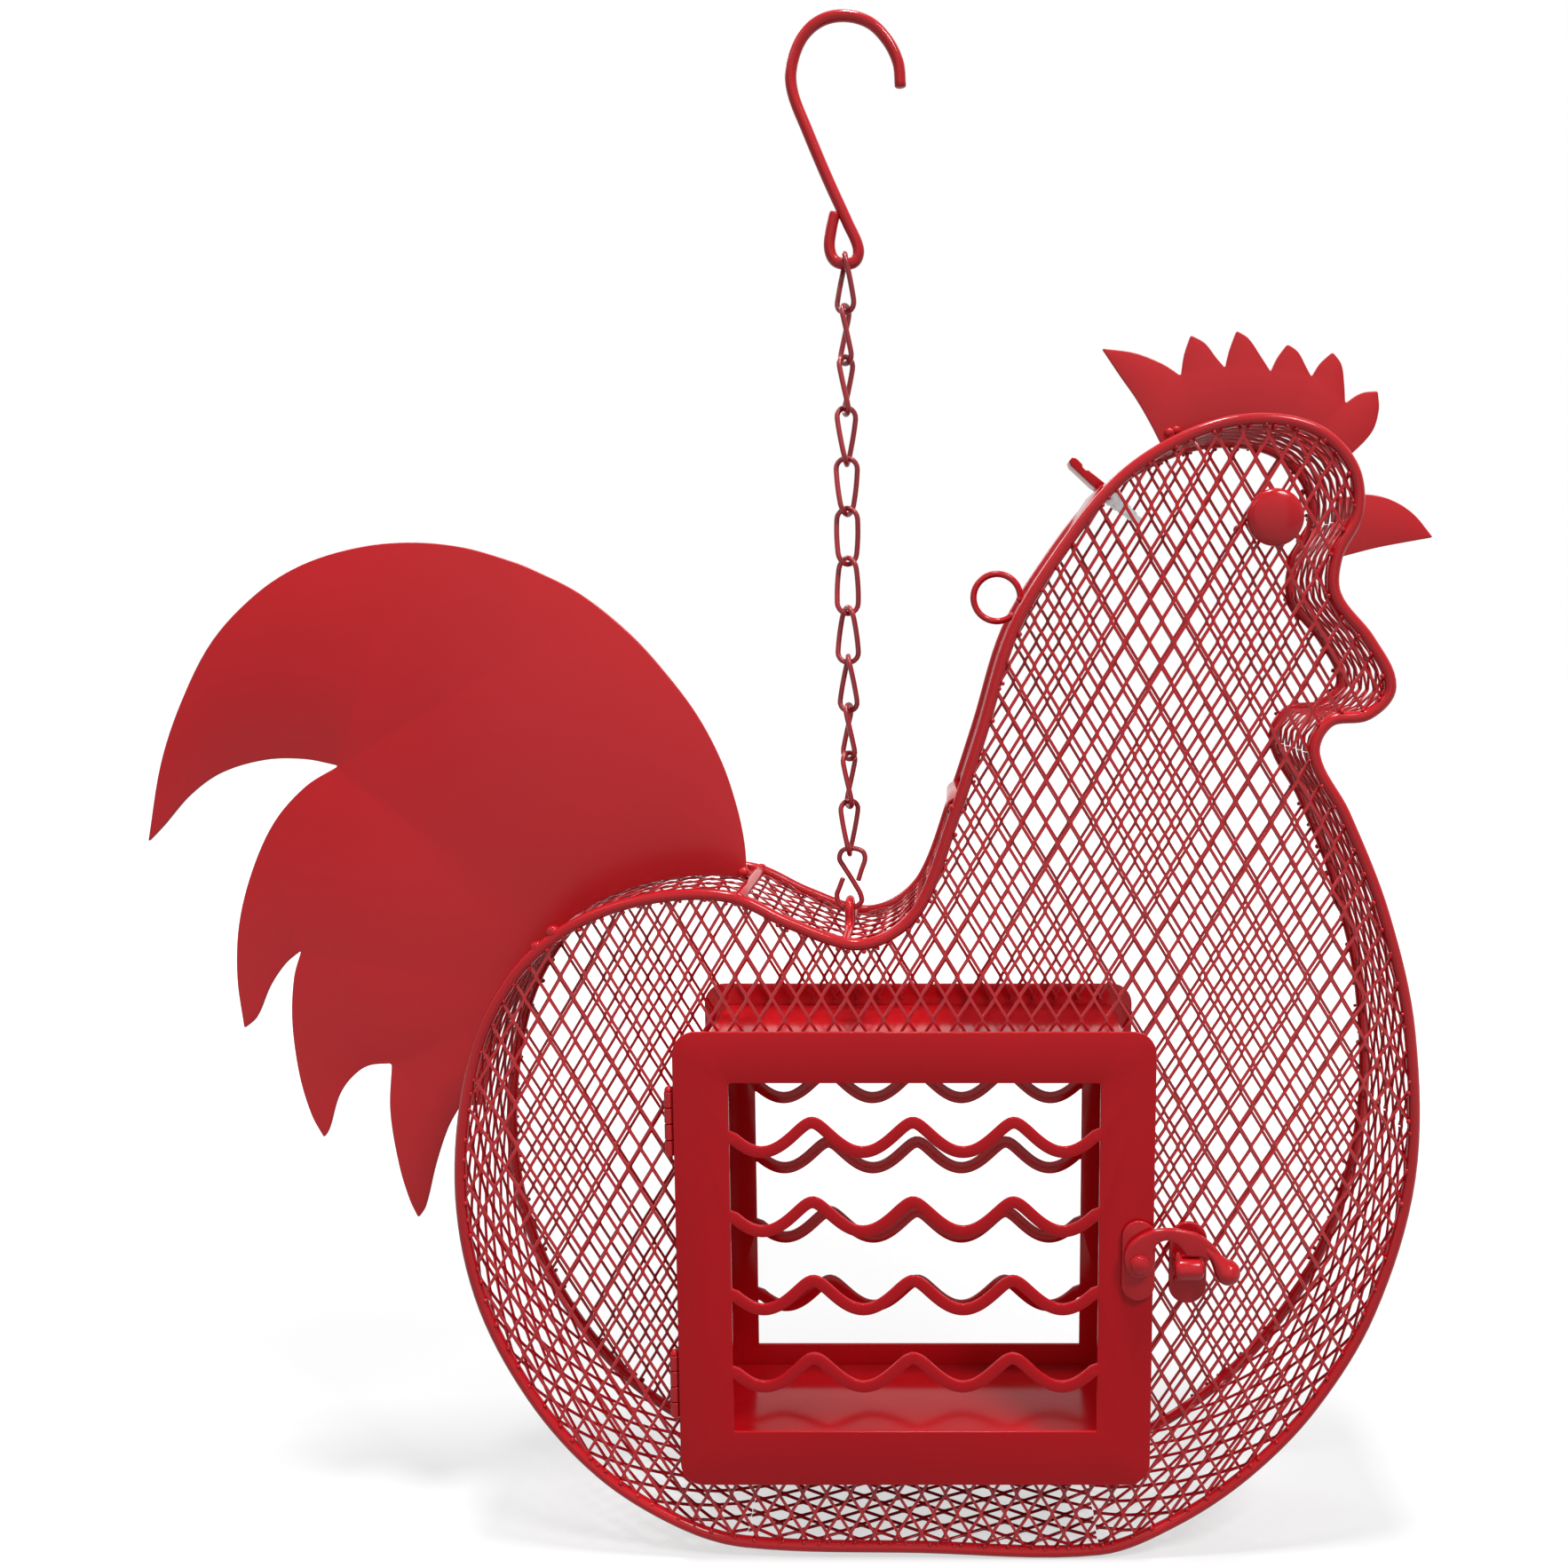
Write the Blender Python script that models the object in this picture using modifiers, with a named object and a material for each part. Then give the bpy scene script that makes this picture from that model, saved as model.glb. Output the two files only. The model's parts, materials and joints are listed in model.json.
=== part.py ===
"""Hanging bird feeder: a cockerel of bent wire and expanded metal round a suet box, on a twisted-link chain.

Metres, +Z up, +X to the head, +Y to the back. The origin is the inside of the top hook's crown.
Outlines are written in millimetres about the hanger hoop, as (across, up), and scaled by MM.
"""

import math

import bmesh
import bpy
from mathutils import Matrix, Vector
from mathutils.geometry import interpolate_bezier

MM = 0.001
GAP = 0.3 * MM
SHARP_ANGLE = math.radians(40)

# Driving sizes
DEPTH = 50.0 * MM  # between the centrelines of the two frames
HANGER_Z = -260.1 * MM  # where the small hook carries the hanger hoop
FRAME_WIRE = 3.5 * MM
ROD_WIRE = 3.5 * MM
MESH_THICKNESS = 1.0 * MM
SHEET = 1.0 * MM
PLATE = 1.2 * MM
TAIL_SHEET = 1.45 * MM  # heavy enough to balance the head about the hanger

HALF_DEPTH = DEPTH / 2
FRAME_RADIUS = FRAME_WIRE / 2
ROD_RADIUS = ROD_WIRE / 2
ROD_LENGTH = DEPTH - FRAME_WIRE - 2 * GAP

# Body outline, anticlockwise from the saddle as seen from the front
OUTLINE_MM = (
    (2.0, -6.8),
    (-16.0, -0.6),
    (-34.0, 7.4),
    (-58.0, 6.6),
    (-80.0, -1.4),
    (-97.0, -16.0),
    (-109.5, -40.0),
    (-115.5, -79.0),
    (-111.0, -114.6),
    (-96.4, -146.7),
    (-76.1, -171.7),
    (-52.3, -187.9),
    (-31.9, -194.5),
    (22.0, -196.3),
    (77.0, -197.0),
    (100.3, -187.5),
    (121.9, -171.9),
    (141.3, -150.3),
    (158.0, -119.9),
    (168.5, -77.9),
    (166.8, -33.2),
    (157.9, 2.2),
    (145.5, 31.7),
    (136.2, 49.0),
    (140.1, 58.5),
    (151.4, 60.8),
    (157.5, 68.7),
    (151.1, 81.8),
    (140.9, 94.8),
    (141.0, 105.9),
    (146.5, 118.1),
    (144.2, 131.5),
    (132.5, 141.6),
    (113.0, 143.6),
    (94.5, 137.7),
    (77.6, 126.0),
    (62.4, 107.0),
    (49.0, 84.5),
    (40.0, 55.0),
    (31.5, 29.0),
    (22.5, 5.0),
    (13.0, -4.2),
)
SMOOTH_STEPS = 2

# Places along the outline, as (across, up) in millimetres
TAIL_ROD_MM = (-31.0, 6.6)
REAR_ROD_MM = (-89.5, -8.4)
LID_ROD_MM = (32.9, 33.2)
NECK_ROD_MM = (77.6, 126.0)
HEAD_SEAM_MM = (146.4, 117.0)
CHEST_SEAM_MM = (136.2, 49.0)
BELLY_SEAM_MM = (168.6, -66.0)
BASE_RIGHT_MM = (77.0, -197.0)
BASE_LEFT_MM = (-31.9, -194.5)

# Suet box, door and back grille
BOX_CENTRE_MM = (20.5, -102.4)
BOX_WIDTH = 131.0 * MM
BOX_HEIGHT = 127.0 * MM
BOX_CORNER = 3.0 * MM
FLANGE = 5.2 * MM
FLANGE_THICKNESS = 0.8 * MM
DOOR_WIDTH = 142.0 * MM
DOOR_HEIGHT = 141.0 * MM
DOOR_CORNER = 6.7 * MM
DOOR_RAIL = 16.3 * MM
BARS = 4
BAR_PITCH = 24.4 * MM
BAR_WIDTH = 3.3 * MM
BAR_RISE = 9.0 * MM
BAR_WAVE = 29.8 * MM
BAR_CREST = 0.15  # the smaller, the sharper the crests against the troughs
BAR_WAVE_STEPS = 6
BARS_UP = 1.05 * MM  # from the middle of the window to that of the bars
DOOR_WINDOW_UP = 0.9 * MM  # from the middle of the plate to that of its window
BACK_WINDOW_UP = -1.3 * MM

# Levels behind and before the middle plane, from the front mesh outwards
FLANGE_FRONT = -HALF_DEPTH - 1.6 * MM
DOOR_BACK = -HALF_DEPTH - 3.7 * MM
DOOR_FRONT = DOOR_BACK - PLATE
BOX_BACK = HALF_DEPTH + 0.7 * MM

# Hinges
HINGE_AXIS = Vector((-52.0 * MM, -HALF_DEPTH - 2.65 * MM))
HINGE_LENGTH = 19.5 * MM
HINGE_CENTRES_MM = {"upper": -60.1, "lower": -142.0}
KNUCKLES = 4
KNUCKLE_RADIUS = 1.5 * MM
KNUCKLE_BORE = 0.95 * MM
LEAF_THICKNESS = 0.6 * MM
LEAF_INNER = -50.2 * MM
LEAF_OUTER = -45.6 * MM
PIN_RADIUS = 0.75 * MM

# Latch: plate and keeper sizes are width, height and thickness
RIVET_MM = (86.9, -101.2)
LATCH_PLATE = (9.9 * MM, 24.7 * MM, 1.0 * MM)
ARM_THICKNESS = 1.5 * MM
ARM_BALL_MM = (113.1, -104.1)
ARM_BALL_RADIUS = 3.8 * MM
ARM_BORE = 1.7 * MM
RIVET_SHANK = 1.4 * MM
RIVET_HEAD = 3.0 * MM
KEEPER_MM = (102.3, -103.7)
KEEPER_PLATE = (11.3 * MM, 25.5 * MM, 1.2 * MM)
BARREL_MM = (101.5, -102.9)
BARREL_RADIUS = 3.3 * MM
BARREL_LENGTH = 8.8 * MM
BARREL_ROUNDING = 0.8 * MM
LATCH_PLATE_Y = DOOR_FRONT - GAP - LATCH_PLATE[2] / 2
ARM_Y = LATCH_PLATE_Y - LATCH_PLATE[2] / 2 - GAP - ARM_THICKNESS / 2
ARM_EDGE_MM = (
    (82.3, -100.5),
    (82.6, -97.7),
    (83.8, -95.2),
    (86.2, -93.1),
    (88.9, -91.6),
    (91.5, -90.7),
    (96.9, -90.4),
    (102.3, -91.5),
    (105.0, -92.6),
    (107.6, -94.5),
    (109.7, -96.6),
    (111.2, -98.7),
    (113.2, -101.6),
    (113.6, -104.3),
    (111.0, -105.2),
    (109.2, -102.4),
    (107.6, -100.2),
    (105.8, -99.3),
    (102.9, -99.1),
    (100.6, -98.9),
    (100.1, -98.0),
    (98.9, -96.3),
    (97.6, -94.9),
    (95.9, -94.2),
    (94.2, -94.2),
    (92.2, -95.2),
    (91.2, -97.4),
    (91.4, -101.2),
    (90.2, -104.2),
    (86.9, -105.7),
    (83.8, -104.4),
)

# Expanded metal: long and short way of a diamond, and strand width
PANEL_DIAMOND = (25.0 * MM, 42.0 * MM)
PANEL_STRAND = 1.7 * MM
PANEL_RELIEF = 3.0 * MM  # between the box and the cut-out, which the flange and the back plate cover
BAND_ROWS = 2
BAND_DIAMOND_LENGTH = 31.0 * MM
BAND_STRAND = 1.6 * MM

# Eye: a domed disc on each side panel
EYE_MM = (123.0, 116.6)
EYE_RADIUS = 8.1 * MM
EYE_RISE = 2.4 * MM
EYE_RIM = 0.8 * MM

# Silhouette sheets: strokes that join at corners, each a soft curve through its points
TAIL_STROKES_MM = (
    (
        (-33.2, 24.7),
        (-36.9, 46.5),
        (-44.0, 61.3),
        (-53.8, 75.6),
        (-65.2, 87.6),
        (-80.4, 98.3),
        (-98.4, 106.9),
        (-116.4, 111.4),
        (-132.5, 111.4),
        (-148.7, 108.6),
        (-165.1, 102.8),
        (-178.9, 94.3),
        (-193.2, 80.6),
        (-203.8, 63.0),
        (-211.2, 44.0),
        (-216.6, 19.7),
    ),
    ((-211.6, 24.7), (-202.8, 34.3), (-192.8, 41.2), (-179.0, 45.2), (-166.7, 45.4), (-156.7, 43.4)),
    ((-167.1, 37.1), (-177.3, 26.1), (-185.0, 10.8), (-190.0, -6.0), (-191.5, -22.9), (-190.2, -39.4)),
    ((-186.1, -35.7), (-181.4, -25.8), (-176.3, -18.7), (-171.1, -14.4)),
    ((-173.8, -22.9), (-175.1, -37.2), (-173.7, -54.4), (-170.5, -67.4), (-166.9, -74.9)),
    ((-165.1, -71.7), (-161.8, -61.6), (-157.9, -55.8), (-152.1, -51.5), (-144.5, -50.6)),
    ((-145.7, -65.9), (-143.7, -83.4), (-140.8, -95.1), (-138.2, -101.3)),
    ((-135.8, -97.5), (-131.9, -83.4), (-127.7, -71.7), (-123.6, -64.5)),
)
COMB_STROKES_MM = (
    ((97.6, 143.4), (88.0, 151.6), (76.3, 167.5)),
    ((85.8, 166.7), (94.1, 163.6), (99.7, 160.1)),
    ((100.6, 166.4), (102.4, 171.9)),
    ((106.6, 169.6), (110.1, 165.4), (112.8, 162.4)),
    ((114.0, 167.6), (116.0, 173.2)),
    ((119.6, 170.9), (123.2, 166.0), (126.4, 161.3)),
    ((128.2, 165.2), (131.2, 169.3)),
    ((134.4, 167.0), (137.0, 162.6), (138.6, 159.8)),
    ((141.0, 163.6), (144.7, 167.0)),
    ((147.4, 163.4), (148.4, 158.0), (148.9, 152.1)),
    ((153.4, 155.0), (158.5, 155.7)),
    ((159.0, 150.0), (157.0, 143.4), (149.6, 135.6)),
)
BEAK_STROKES_MM = (
    ((150.2, 124.6), (155.8, 125.4), (163.0, 124.0), (170.2, 119.8), (176.6, 112.6)),
    ((167.6, 111.0), (159.3, 109.4), (149.2, 106.8)),
)
HEAD_CLEARANCE = 1.2 * MM  # between the comb or beak and the outline

# Lid and its pull ring
LID_THICKNESS = 1.0 * MM
LID_WIDTH = 44.8 * MM
CURL_RADIUS = ROD_RADIUS + GAP + LID_THICKNESS / 2
RING_RADIUS = 7.1 * MM
RING_WIRE = 2.0 * MM
RING_CENTRE_MM = (45.2, 94.6)
RING_FACING_DEGREES = -28.5  # from its centre to its foot on the lid
RING_GAP_DEGREES = 24

# Lid catch
CATCH_AXIS_DEGREES = 139.5
CATCH_WIDTH = 9.0 * MM
TAB_THICKNESS = 2.4 * MM
TAB_LENGTH = 12.4 * MM
SPRING_LENGTH = 13.0 * MM
SPRING_THICKNESS = 3.0 * MM

# Hanging gear
HOOK_WIRE = 3.4 * MM
CHAIN_WIRE = 1.6 * MM
LINK_WIDTH = 8.0 * MM
LINKS = 12
LINK_TWIST = math.radians(68)
FIRST_LINK_ANGLE = math.radians(268)
LINK_CONTACT = 0.35 * MM  # air between one link's wire and the next
HOOK_EYE_BOTTOM = -66.1 * MM  # upper side of the wire that carries the chain
SMALL_HOOK_TOP = -243.4 * MM  # upper side of the last link's bottom wire
HOOP_WIRE = 2.8 * MM
HOOP_HALF_WIDTH = 4.2 * MM
ROD_DROP = -6.8 * MM
HOOK_MM = (
    (16.5, 242.4),
    (15.8, 249.0),
    (12.6, 255.2),
    (7.4, 260.0),
    (0.0, 261.8),
    (-7.0, 260.2),
    (-12.4, 255.2),
    (-15.3, 247.0),
    (-14.8, 240.2),
    (-11.0, 230.5),
    (-5.0, 216.5),
    (0.8, 204.0),
    (3.9, 196.8),
    (3.0, 193.2),
    (0.0, 192.3),
    (-3.2, 193.4),
    (-4.6, 197.0),
    (-4.0, 202.2),
    (-3.0, 206.6),
)
SMALL_HOOK_MM = (
    (2.6, 7.8),
    (3.6, 11.0),
    (4.7, 14.6),
    (3.9, 16.8),
    (0.9, 17.75),
    (-2.2, 17.1),
    (-3.2, 14.6),
    (-1.8, 11.9),
    (0.1, 8.9),
    (1.9, 5.9),
    (3.3, 3.2),
    (3.4, 0.8),
    (0.2, -1.1),
    (-3.0, -0.2),
    (-4.1, 2.9),
    (-3.3, 5.4),
    (-2.2, 8.3),
)

STEEL_RED = (0.62, 0.022, 0.030, 1.0)
ZINC_GREY = (0.42, 0.41, 0.40, 1.0)


def material(name, colour, roughness, metallic):
    made = bpy.data.materials.new(name)
    made.use_nodes = True
    shader = made.node_tree.nodes["Principled BSDF"]
    shader.inputs["Base Color"].default_value = colour
    shader.inputs["Roughness"].default_value = roughness
    shader.inputs["Metallic"].default_value = metallic
    made.diffuse_color = colour
    return made


def at(point_mm):
    """A point written about the hanger hoop, as world (x, z)."""
    return Vector((point_mm[0] * MM, point_mm[1] * MM + HANGER_Z))


def in_plane(point, y):
    return Vector((point[0], y, point[1]))


def smooth(points, closed, steps=SMOOTH_STEPS):
    """Points along a soft curve through the given ones, with handles a third of each chord."""
    count = len(points)
    last = count - 1

    def heading(i):
        before = points[(i - 1) % count] if closed else points[max(i - 1, 0)]
        after = points[(i + 1) % count] if closed else points[min(i + 1, last)]
        return (after - before).normalized()

    found = []
    for i in range(count if closed else last):
        start, end = points[i], points[(i + 1) % count]
        reach = (end - start).length / 3
        first = start + heading(i) * reach
        second = end - heading((i + 1) % count) * reach
        found += list(interpolate_bezier(start, first, second, end, steps + 1))[:-1]
    return found if closed else found + [points[-1].copy()]


def offset(points, distance, closed=True):
    """The line moved sideways, to the left of its direction where distance is positive."""
    count = len(points)
    moved = []
    for i, point in enumerate(points):
        before = points[(i - 1) % count] if closed else points[max(i - 1, 0)]
        after = points[(i + 1) % count] if closed else points[min(i + 1, count - 1)]
        along = (after - before).normalized()
        moved.append(point + Vector((-along.y, along.x)) * distance)
    return moved


OUTLINE = smooth([at(p) for p in OUTLINE_MM], closed=True)


def nearest(point_mm):
    """The place of the outline's point nearest to this one, as its index."""
    target = at(point_mm)
    return min(range(len(OUTLINE)), key=lambda i: (OUTLINE[i] - target).length)


def stretch(start_mm, end_mm, start_gap, end_gap):
    """The outline from one place to another, anticlockwise, cut back at each end."""
    start, end = nearest(start_mm), nearest(end_mm)
    count = (end - start) % len(OUTLINE)
    line = [OUTLINE[(start + i) % len(OUTLINE)] for i in range(count + 1)]
    line[0], line[-1] = at(start_mm), at(end_mm)
    return shortened(shortened(line, start_gap)[::-1], end_gap)[::-1]


def shortened(line, length):
    """The line without its first stretch of this length."""
    left = length
    for i in range(len(line) - 1):
        step = (line[i + 1] - line[i]).length
        if step > left:
            return [line[i].lerp(line[i + 1], left / step)] + line[i + 1 :]
        left -= step
    return line[-1:]


def lengths(line):
    """How far along the line each point is."""
    found = [0.0]
    for a, b in zip(line, line[1:]):
        found.append(found[-1] + (b - a).length)
    return found


def along(line, far, distance):
    """The point at this distance along the line, and the direction there."""
    i = 0
    while i < len(far) - 2 and far[i + 1] < distance:
        i += 1
    share = (distance - far[i]) / (far[i + 1] - far[i])
    return line[i].lerp(line[i + 1], share), (line[i + 1] - line[i]).normalized()


def add_mesh(name, mesh, finish):
    """An object of this mesh, smooth over its curves and sharp at its edges."""
    mesh.materials.clear()
    mesh.materials.append(finish)
    mesh.shade_smooth()
    mesh.set_sharp_from_angle(angle=SHARP_ANGLE)
    made = bpy.data.objects.new(name, mesh)
    parts.objects.link(made)
    return made


def from_bmesh(name, bm, finish):
    """An object of this shape, with its faces pointing out."""
    bmesh.ops.recalc_face_normals(bm, faces=bm.faces)
    if bm.calc_volume(signed=True) < 0:
        bmesh.ops.reverse_faces(bm, faces=bm.faces)
    mesh = bpy.data.meshes.new(name)
    bm.to_mesh(mesh)
    bm.free()
    return add_mesh(name, mesh, finish)


def evaluated_mesh(made):
    """The object's mesh with its modifiers applied, in world space and with its doubles merged."""
    bpy.context.view_layer.update()
    graph = bpy.context.evaluated_depsgraph_get()
    mesh = bpy.data.meshes.new_from_object(made.evaluated_get(graph), depsgraph=graph)
    mesh.transform(made.matrix_world)
    bm = bmesh.new()
    bm.from_mesh(mesh)
    bmesh.ops.remove_doubles(bm, verts=bm.verts, dist=0.001 * MM)
    bm.to_mesh(mesh)
    bm.free()
    return mesh


def settled(made, finish):
    """The same object as a plain mesh, with its curve or modifiers applied and its transform cleared."""
    name = made.name
    mesh = evaluated_mesh(made)
    bpy.data.objects.remove(made)
    return add_mesh(name, mesh, finish)


def wire(name, points, radius, finish, closed=False, sides=2):
    """A bent round wire along these points, with flat closed ends."""
    curve = bpy.data.curves.new(name, "CURVE")
    curve.dimensions = "3D"
    curve.bevel_depth = radius
    curve.bevel_resolution = sides
    curve.use_fill_caps = not closed
    line = curve.splines.new("POLY")
    line.points.add(len(points) - 1)
    for place, point in zip(line.points, points):
        place.co = (*point, 1.0)
    line.use_cyclic_u = closed
    curve.materials.append(finish)
    made = bpy.data.objects.new(name, curve)
    parts.objects.link(made)
    return made


def sheet(name, outlines, thickness, middle_y, finish):
    """Flat sheet standing in the plane of the frames: the first outline is the edge, the others are holes."""
    curve = bpy.data.curves.new(name, "CURVE")
    curve.dimensions = "2D"
    curve.fill_mode = "BOTH"
    curve.extrude = thickness / 2
    for outline in outlines:
        line = curve.splines.new("POLY")
        line.points.add(len(outline) - 1)
        for place, point in zip(line.points, outline):
            place.co = (point[0], point[1], 0.0, 1.0)
        line.use_cyclic_u = True
    curve.materials.append(finish)
    made = bpy.data.objects.new(name, curve)
    made.rotation_euler = (math.radians(90), 0, 0)
    made.location = (0, middle_y, 0)
    parts.objects.link(made)
    return made


def turned(name, profile, centre, axis_turn, finish, steps=16):
    """A shape turned about an axis, from its (radius, height) profile, top to bottom down its outer side."""
    mesh = bpy.data.meshes.new(name)
    bm = bmesh.new()
    corners = [bm.verts.new((radius, 0, height)) for radius, height in profile]
    for a, b in zip(corners, corners[1:]):
        bm.edges.new((a, b))
    bm.to_mesh(mesh)
    bm.free()
    made = add_mesh(name, mesh, finish)
    screw = made.modifiers.new("Turn", "SCREW")
    screw.steps = steps
    screw.render_steps = steps
    screw.use_merge_vertices = True
    screw.merge_threshold = 0.00001
    made.location = centre
    made.rotation_euler = axis_turn
    return made


def hide_as_cutter(made):
    parts.objects.unlink(made)
    cutters.objects.link(made)
    made.hide_render = True
    made.display_type = "WIRE"


def boolean(made, other, operation):
    change = made.modifiers.new(operation.title(), "BOOLEAN")
    change.operation = operation
    change.solver = "EXACT"
    change.object = other


def joined(name, pieces, finish):
    """These pieces as one solid."""
    first = settled(pieces[0], finish)
    others = [settled(piece, finish) for piece in pieces[1:]]
    for other in others:
        boolean(first, other, "UNION")
    made = settled(first, finish)
    made.name = name
    for other in others:
        bpy.data.objects.remove(other)
    return made


def keep_largest(made):
    """Drops the loose clippings of a cut mesh."""
    bm = bmesh.new()
    bm.from_mesh(made.data)
    unseen = set(bm.verts)
    islands = []
    while unseen:
        island, edge_of = set(), [unseen.pop()]
        while edge_of:
            vert = edge_of.pop()
            island.add(vert)
            for edge in vert.link_edges:
                other = edge.other_vert(vert)
                if other in unseen:
                    unseen.discard(other)
                    edge_of.append(other)
        islands.append(island)
    islands.sort(key=len)
    loose = [vert for island in islands[:-1] for vert in island]
    bmesh.ops.delete(bm, geom=loose, context="VERTS")
    bm.to_mesh(made.data)
    bm.free()


def rounded_rectangle(centre, width, height, corner, steps=4):
    """Anticlockwise outline with quarter-round corners."""
    points = []
    for turn, (sx, sz) in enumerate(((1, 1), (-1, 1), (-1, -1), (1, -1))):
        pivot = centre + Vector((sx * (width / 2 - corner), sz * (height / 2 - corner)))
        for step in range(steps + 1):
            angle = math.radians(90) * (turn + step / steps)
            points.append(pivot + Vector((math.cos(angle), math.sin(angle))) * corner)
    return points


def arc(centre, radius, start, end, steps):
    """Points on an arc, with its angles in degrees."""
    return [
        centre + Vector((math.cos(a), math.sin(a))) * radius
        for a in (math.radians(start + (end - start) * i / steps) for i in range(steps + 1))
    ]


def box(name, low, high, finish):
    bm = bmesh.new()
    bmesh.ops.create_cube(bm, size=1)
    size = Vector(high) - Vector(low)
    bmesh.ops.scale(bm, vec=size, verts=bm.verts)
    bmesh.ops.translate(bm, vec=Vector(low) + size / 2, verts=bm.verts)
    return from_bmesh(name, bm, finish)


def diamonds(width, height, across, strand):
    """Flat lattice of upright diamonds in the XY plane, centred on the origin, with no thickness."""
    bm = bmesh.new()
    count = 2 * math.ceil(max(width / across[0], height / across[1]) + 1)
    bmesh.ops.create_grid(bm, x_segments=count, y_segments=count, size=count / 2)
    bmesh.ops.rotate(bm, verts=bm.verts, matrix=Matrix.Rotation(math.radians(45), 3, "Z"))
    scale = Vector((across[0], across[1], 1)) / math.sqrt(2)
    bmesh.ops.scale(bm, vec=scale, verts=bm.verts)
    for x, y in ((1, 0), (-1, 0), (0, 1), (0, -1)):
        far = [
            face
            for face in bm.faces
            if x * face.calc_center_median().x > width / 2 + across[0]
            or x * face.calc_center_median().x < -width / 2 - across[0]
            or y * face.calc_center_median().y > height / 2 + across[1]
            or y * face.calc_center_median().y < -height / 2 - across[1]
        ]
        bmesh.ops.delete(bm, geom=far, context="FACES")
    holes = list(bm.faces)
    bmesh.ops.inset_individual(bm, faces=holes, thickness=strand / 2, use_even_offset=True)
    bmesh.ops.delete(bm, geom=holes, context="FACES_ONLY")
    return bm


def thickened(bm, thickness):
    """Gives the flat lattice its thickness, centred on its plane."""
    made = bmesh.ops.extrude_face_region(bm, geom=bm.faces[:], use_keep_orig=True)
    raised = [item for item in made["geom"] if isinstance(item, bmesh.types.BMVert)]
    bmesh.ops.translate(bm, vec=(0, 0, thickness), verts=raised)
    bmesh.ops.translate(bm, vec=(0, 0, -thickness / 2), verts=bm.verts)


def mesh_panel(name, middle_y, finish):
    """Expanded-metal side, cut to the frame's inside and round the suet box."""
    inside = offset(OUTLINE, FRAME_RADIUS + GAP)
    low = Vector((min(p.x for p in inside), min(p.y for p in inside)))
    high = Vector((max(p.x for p in inside), max(p.y for p in inside)))
    size = high - low
    bm = diamonds(size.x, size.y, PANEL_DIAMOND, PANEL_STRAND)
    thickened(bm, MESH_THICKNESS)
    middle = in_plane((low + high) / 2, middle_y)
    upright = Matrix.Rotation(math.radians(90), 4, "X")
    bmesh.ops.transform(bm, matrix=Matrix.Translation(middle) @ upright, verts=bm.verts)
    lattice = from_bmesh(name, bm, finish)
    hole = rounded_rectangle(
        at(BOX_CENTRE_MM),
        BOX_WIDTH + 2 * PANEL_RELIEF,
        BOX_HEIGHT + 2 * PANEL_RELIEF,
        BOX_CORNER + PANEL_RELIEF,
    )
    clip = settled(sheet(name + "_clip", [inside, hole], 8 * MM, middle_y, finish), finish)
    boolean(lattice, clip, "INTERSECT")
    made = settled(lattice, finish)
    hide_as_cutter(clip)
    keep_largest(made)
    return made


def band(name, line, finish):
    """Expanded-metal strip between the frames, along this stretch of the outline."""
    far = lengths(line)
    width = ROD_LENGTH
    pieces = max(1, round(far[-1] / BAND_DIAMOND_LENGTH))
    across = (far[-1] / pieces, width / BAND_ROWS)
    bm = diamonds(far[-1], width, across, BAND_STRAND)
    for normal, reach in (((1, 0, 0), far[-1] / 2), ((0, 1, 0), width / 2)):
        for side in (1, -1):
            direction = Vector(normal) * side
            bmesh.ops.bisect_plane(
                bm,
                geom=bm.verts[:] + bm.edges[:] + bm.faces[:],
                dist=1e-7,
                plane_co=direction * reach,
                plane_no=direction,
                clear_outer=True,
            )
    thickened(bm, MESH_THICKNESS)
    for vert in bm.verts:
        place, heading = along(line, far, vert.co.x + far[-1] / 2)
        out = Vector((heading.y, -heading.x))
        vert.co = in_plane(place + out * vert.co.z, vert.co.y)
    made = from_bmesh(name, bm, finish)
    keep_largest(made)
    return made


def wave(x):
    """How far a wavy bar rises above its middle: narrow crests between wide scalloped troughs."""
    tallest = math.hypot(1, BAR_CREST)
    share = (tallest - math.hypot(math.sin(math.pi * x / BAR_WAVE), BAR_CREST)) / (tallest - BAR_CREST)
    return BAR_RISE * (share - 0.5)


def wavy_edge(middle_z, side):
    """One edge of a wavy bar, left to right, with a crest at the middle of the window."""
    centre_x = at(BOX_CENTRE_MM).x
    half = DOOR_WIDTH / 2 - DOOR_RAIL
    step = BAR_WAVE / BAR_WAVE_STEPS
    count = int(half / step - 0.5)
    places = [-half] + [i * step for i in range(-count, count + 1)] + [half]
    line = [Vector((centre_x + x, middle_z + wave(x))) for x in places]
    edge = offset(line, side * BAR_WIDTH / 2, closed=False)
    edge[0].x, edge[-1].x = line[0].x, line[-1].x
    return edge


def grille(name, middle_y, window_up, finish):
    """Stamped plate with five openings between four wavy bars."""
    centre = at(BOX_CENTRE_MM)
    edge = rounded_rectangle(centre, DOOR_WIDTH, DOOR_HEIGHT, DOOR_CORNER)
    half_x = DOOR_WIDTH / 2 - DOOR_RAIL
    half_z = DOOR_HEIGHT / 2 - DOOR_RAIL
    window = centre + Vector((0, window_up))
    bottom = [window + Vector((-half_x, -half_z)), window + Vector((half_x, -half_z))]
    top = [window + Vector((-half_x, half_z)), window + Vector((half_x, half_z))]
    floors, roofs = [bottom], []
    for bar in range(BARS):
        middle = window.y + BARS_UP + (bar - (BARS - 1) / 2) * BAR_PITCH
        roofs.append(wavy_edge(middle, -1))
        floors.append(wavy_edge(middle, 1))
    roofs.append(top)
    windows = [floor + roof[::-1] for floor, roof in zip(floors, roofs)]
    return sheet(name, [edge] + windows, PLATE, middle_y, finish)


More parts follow.
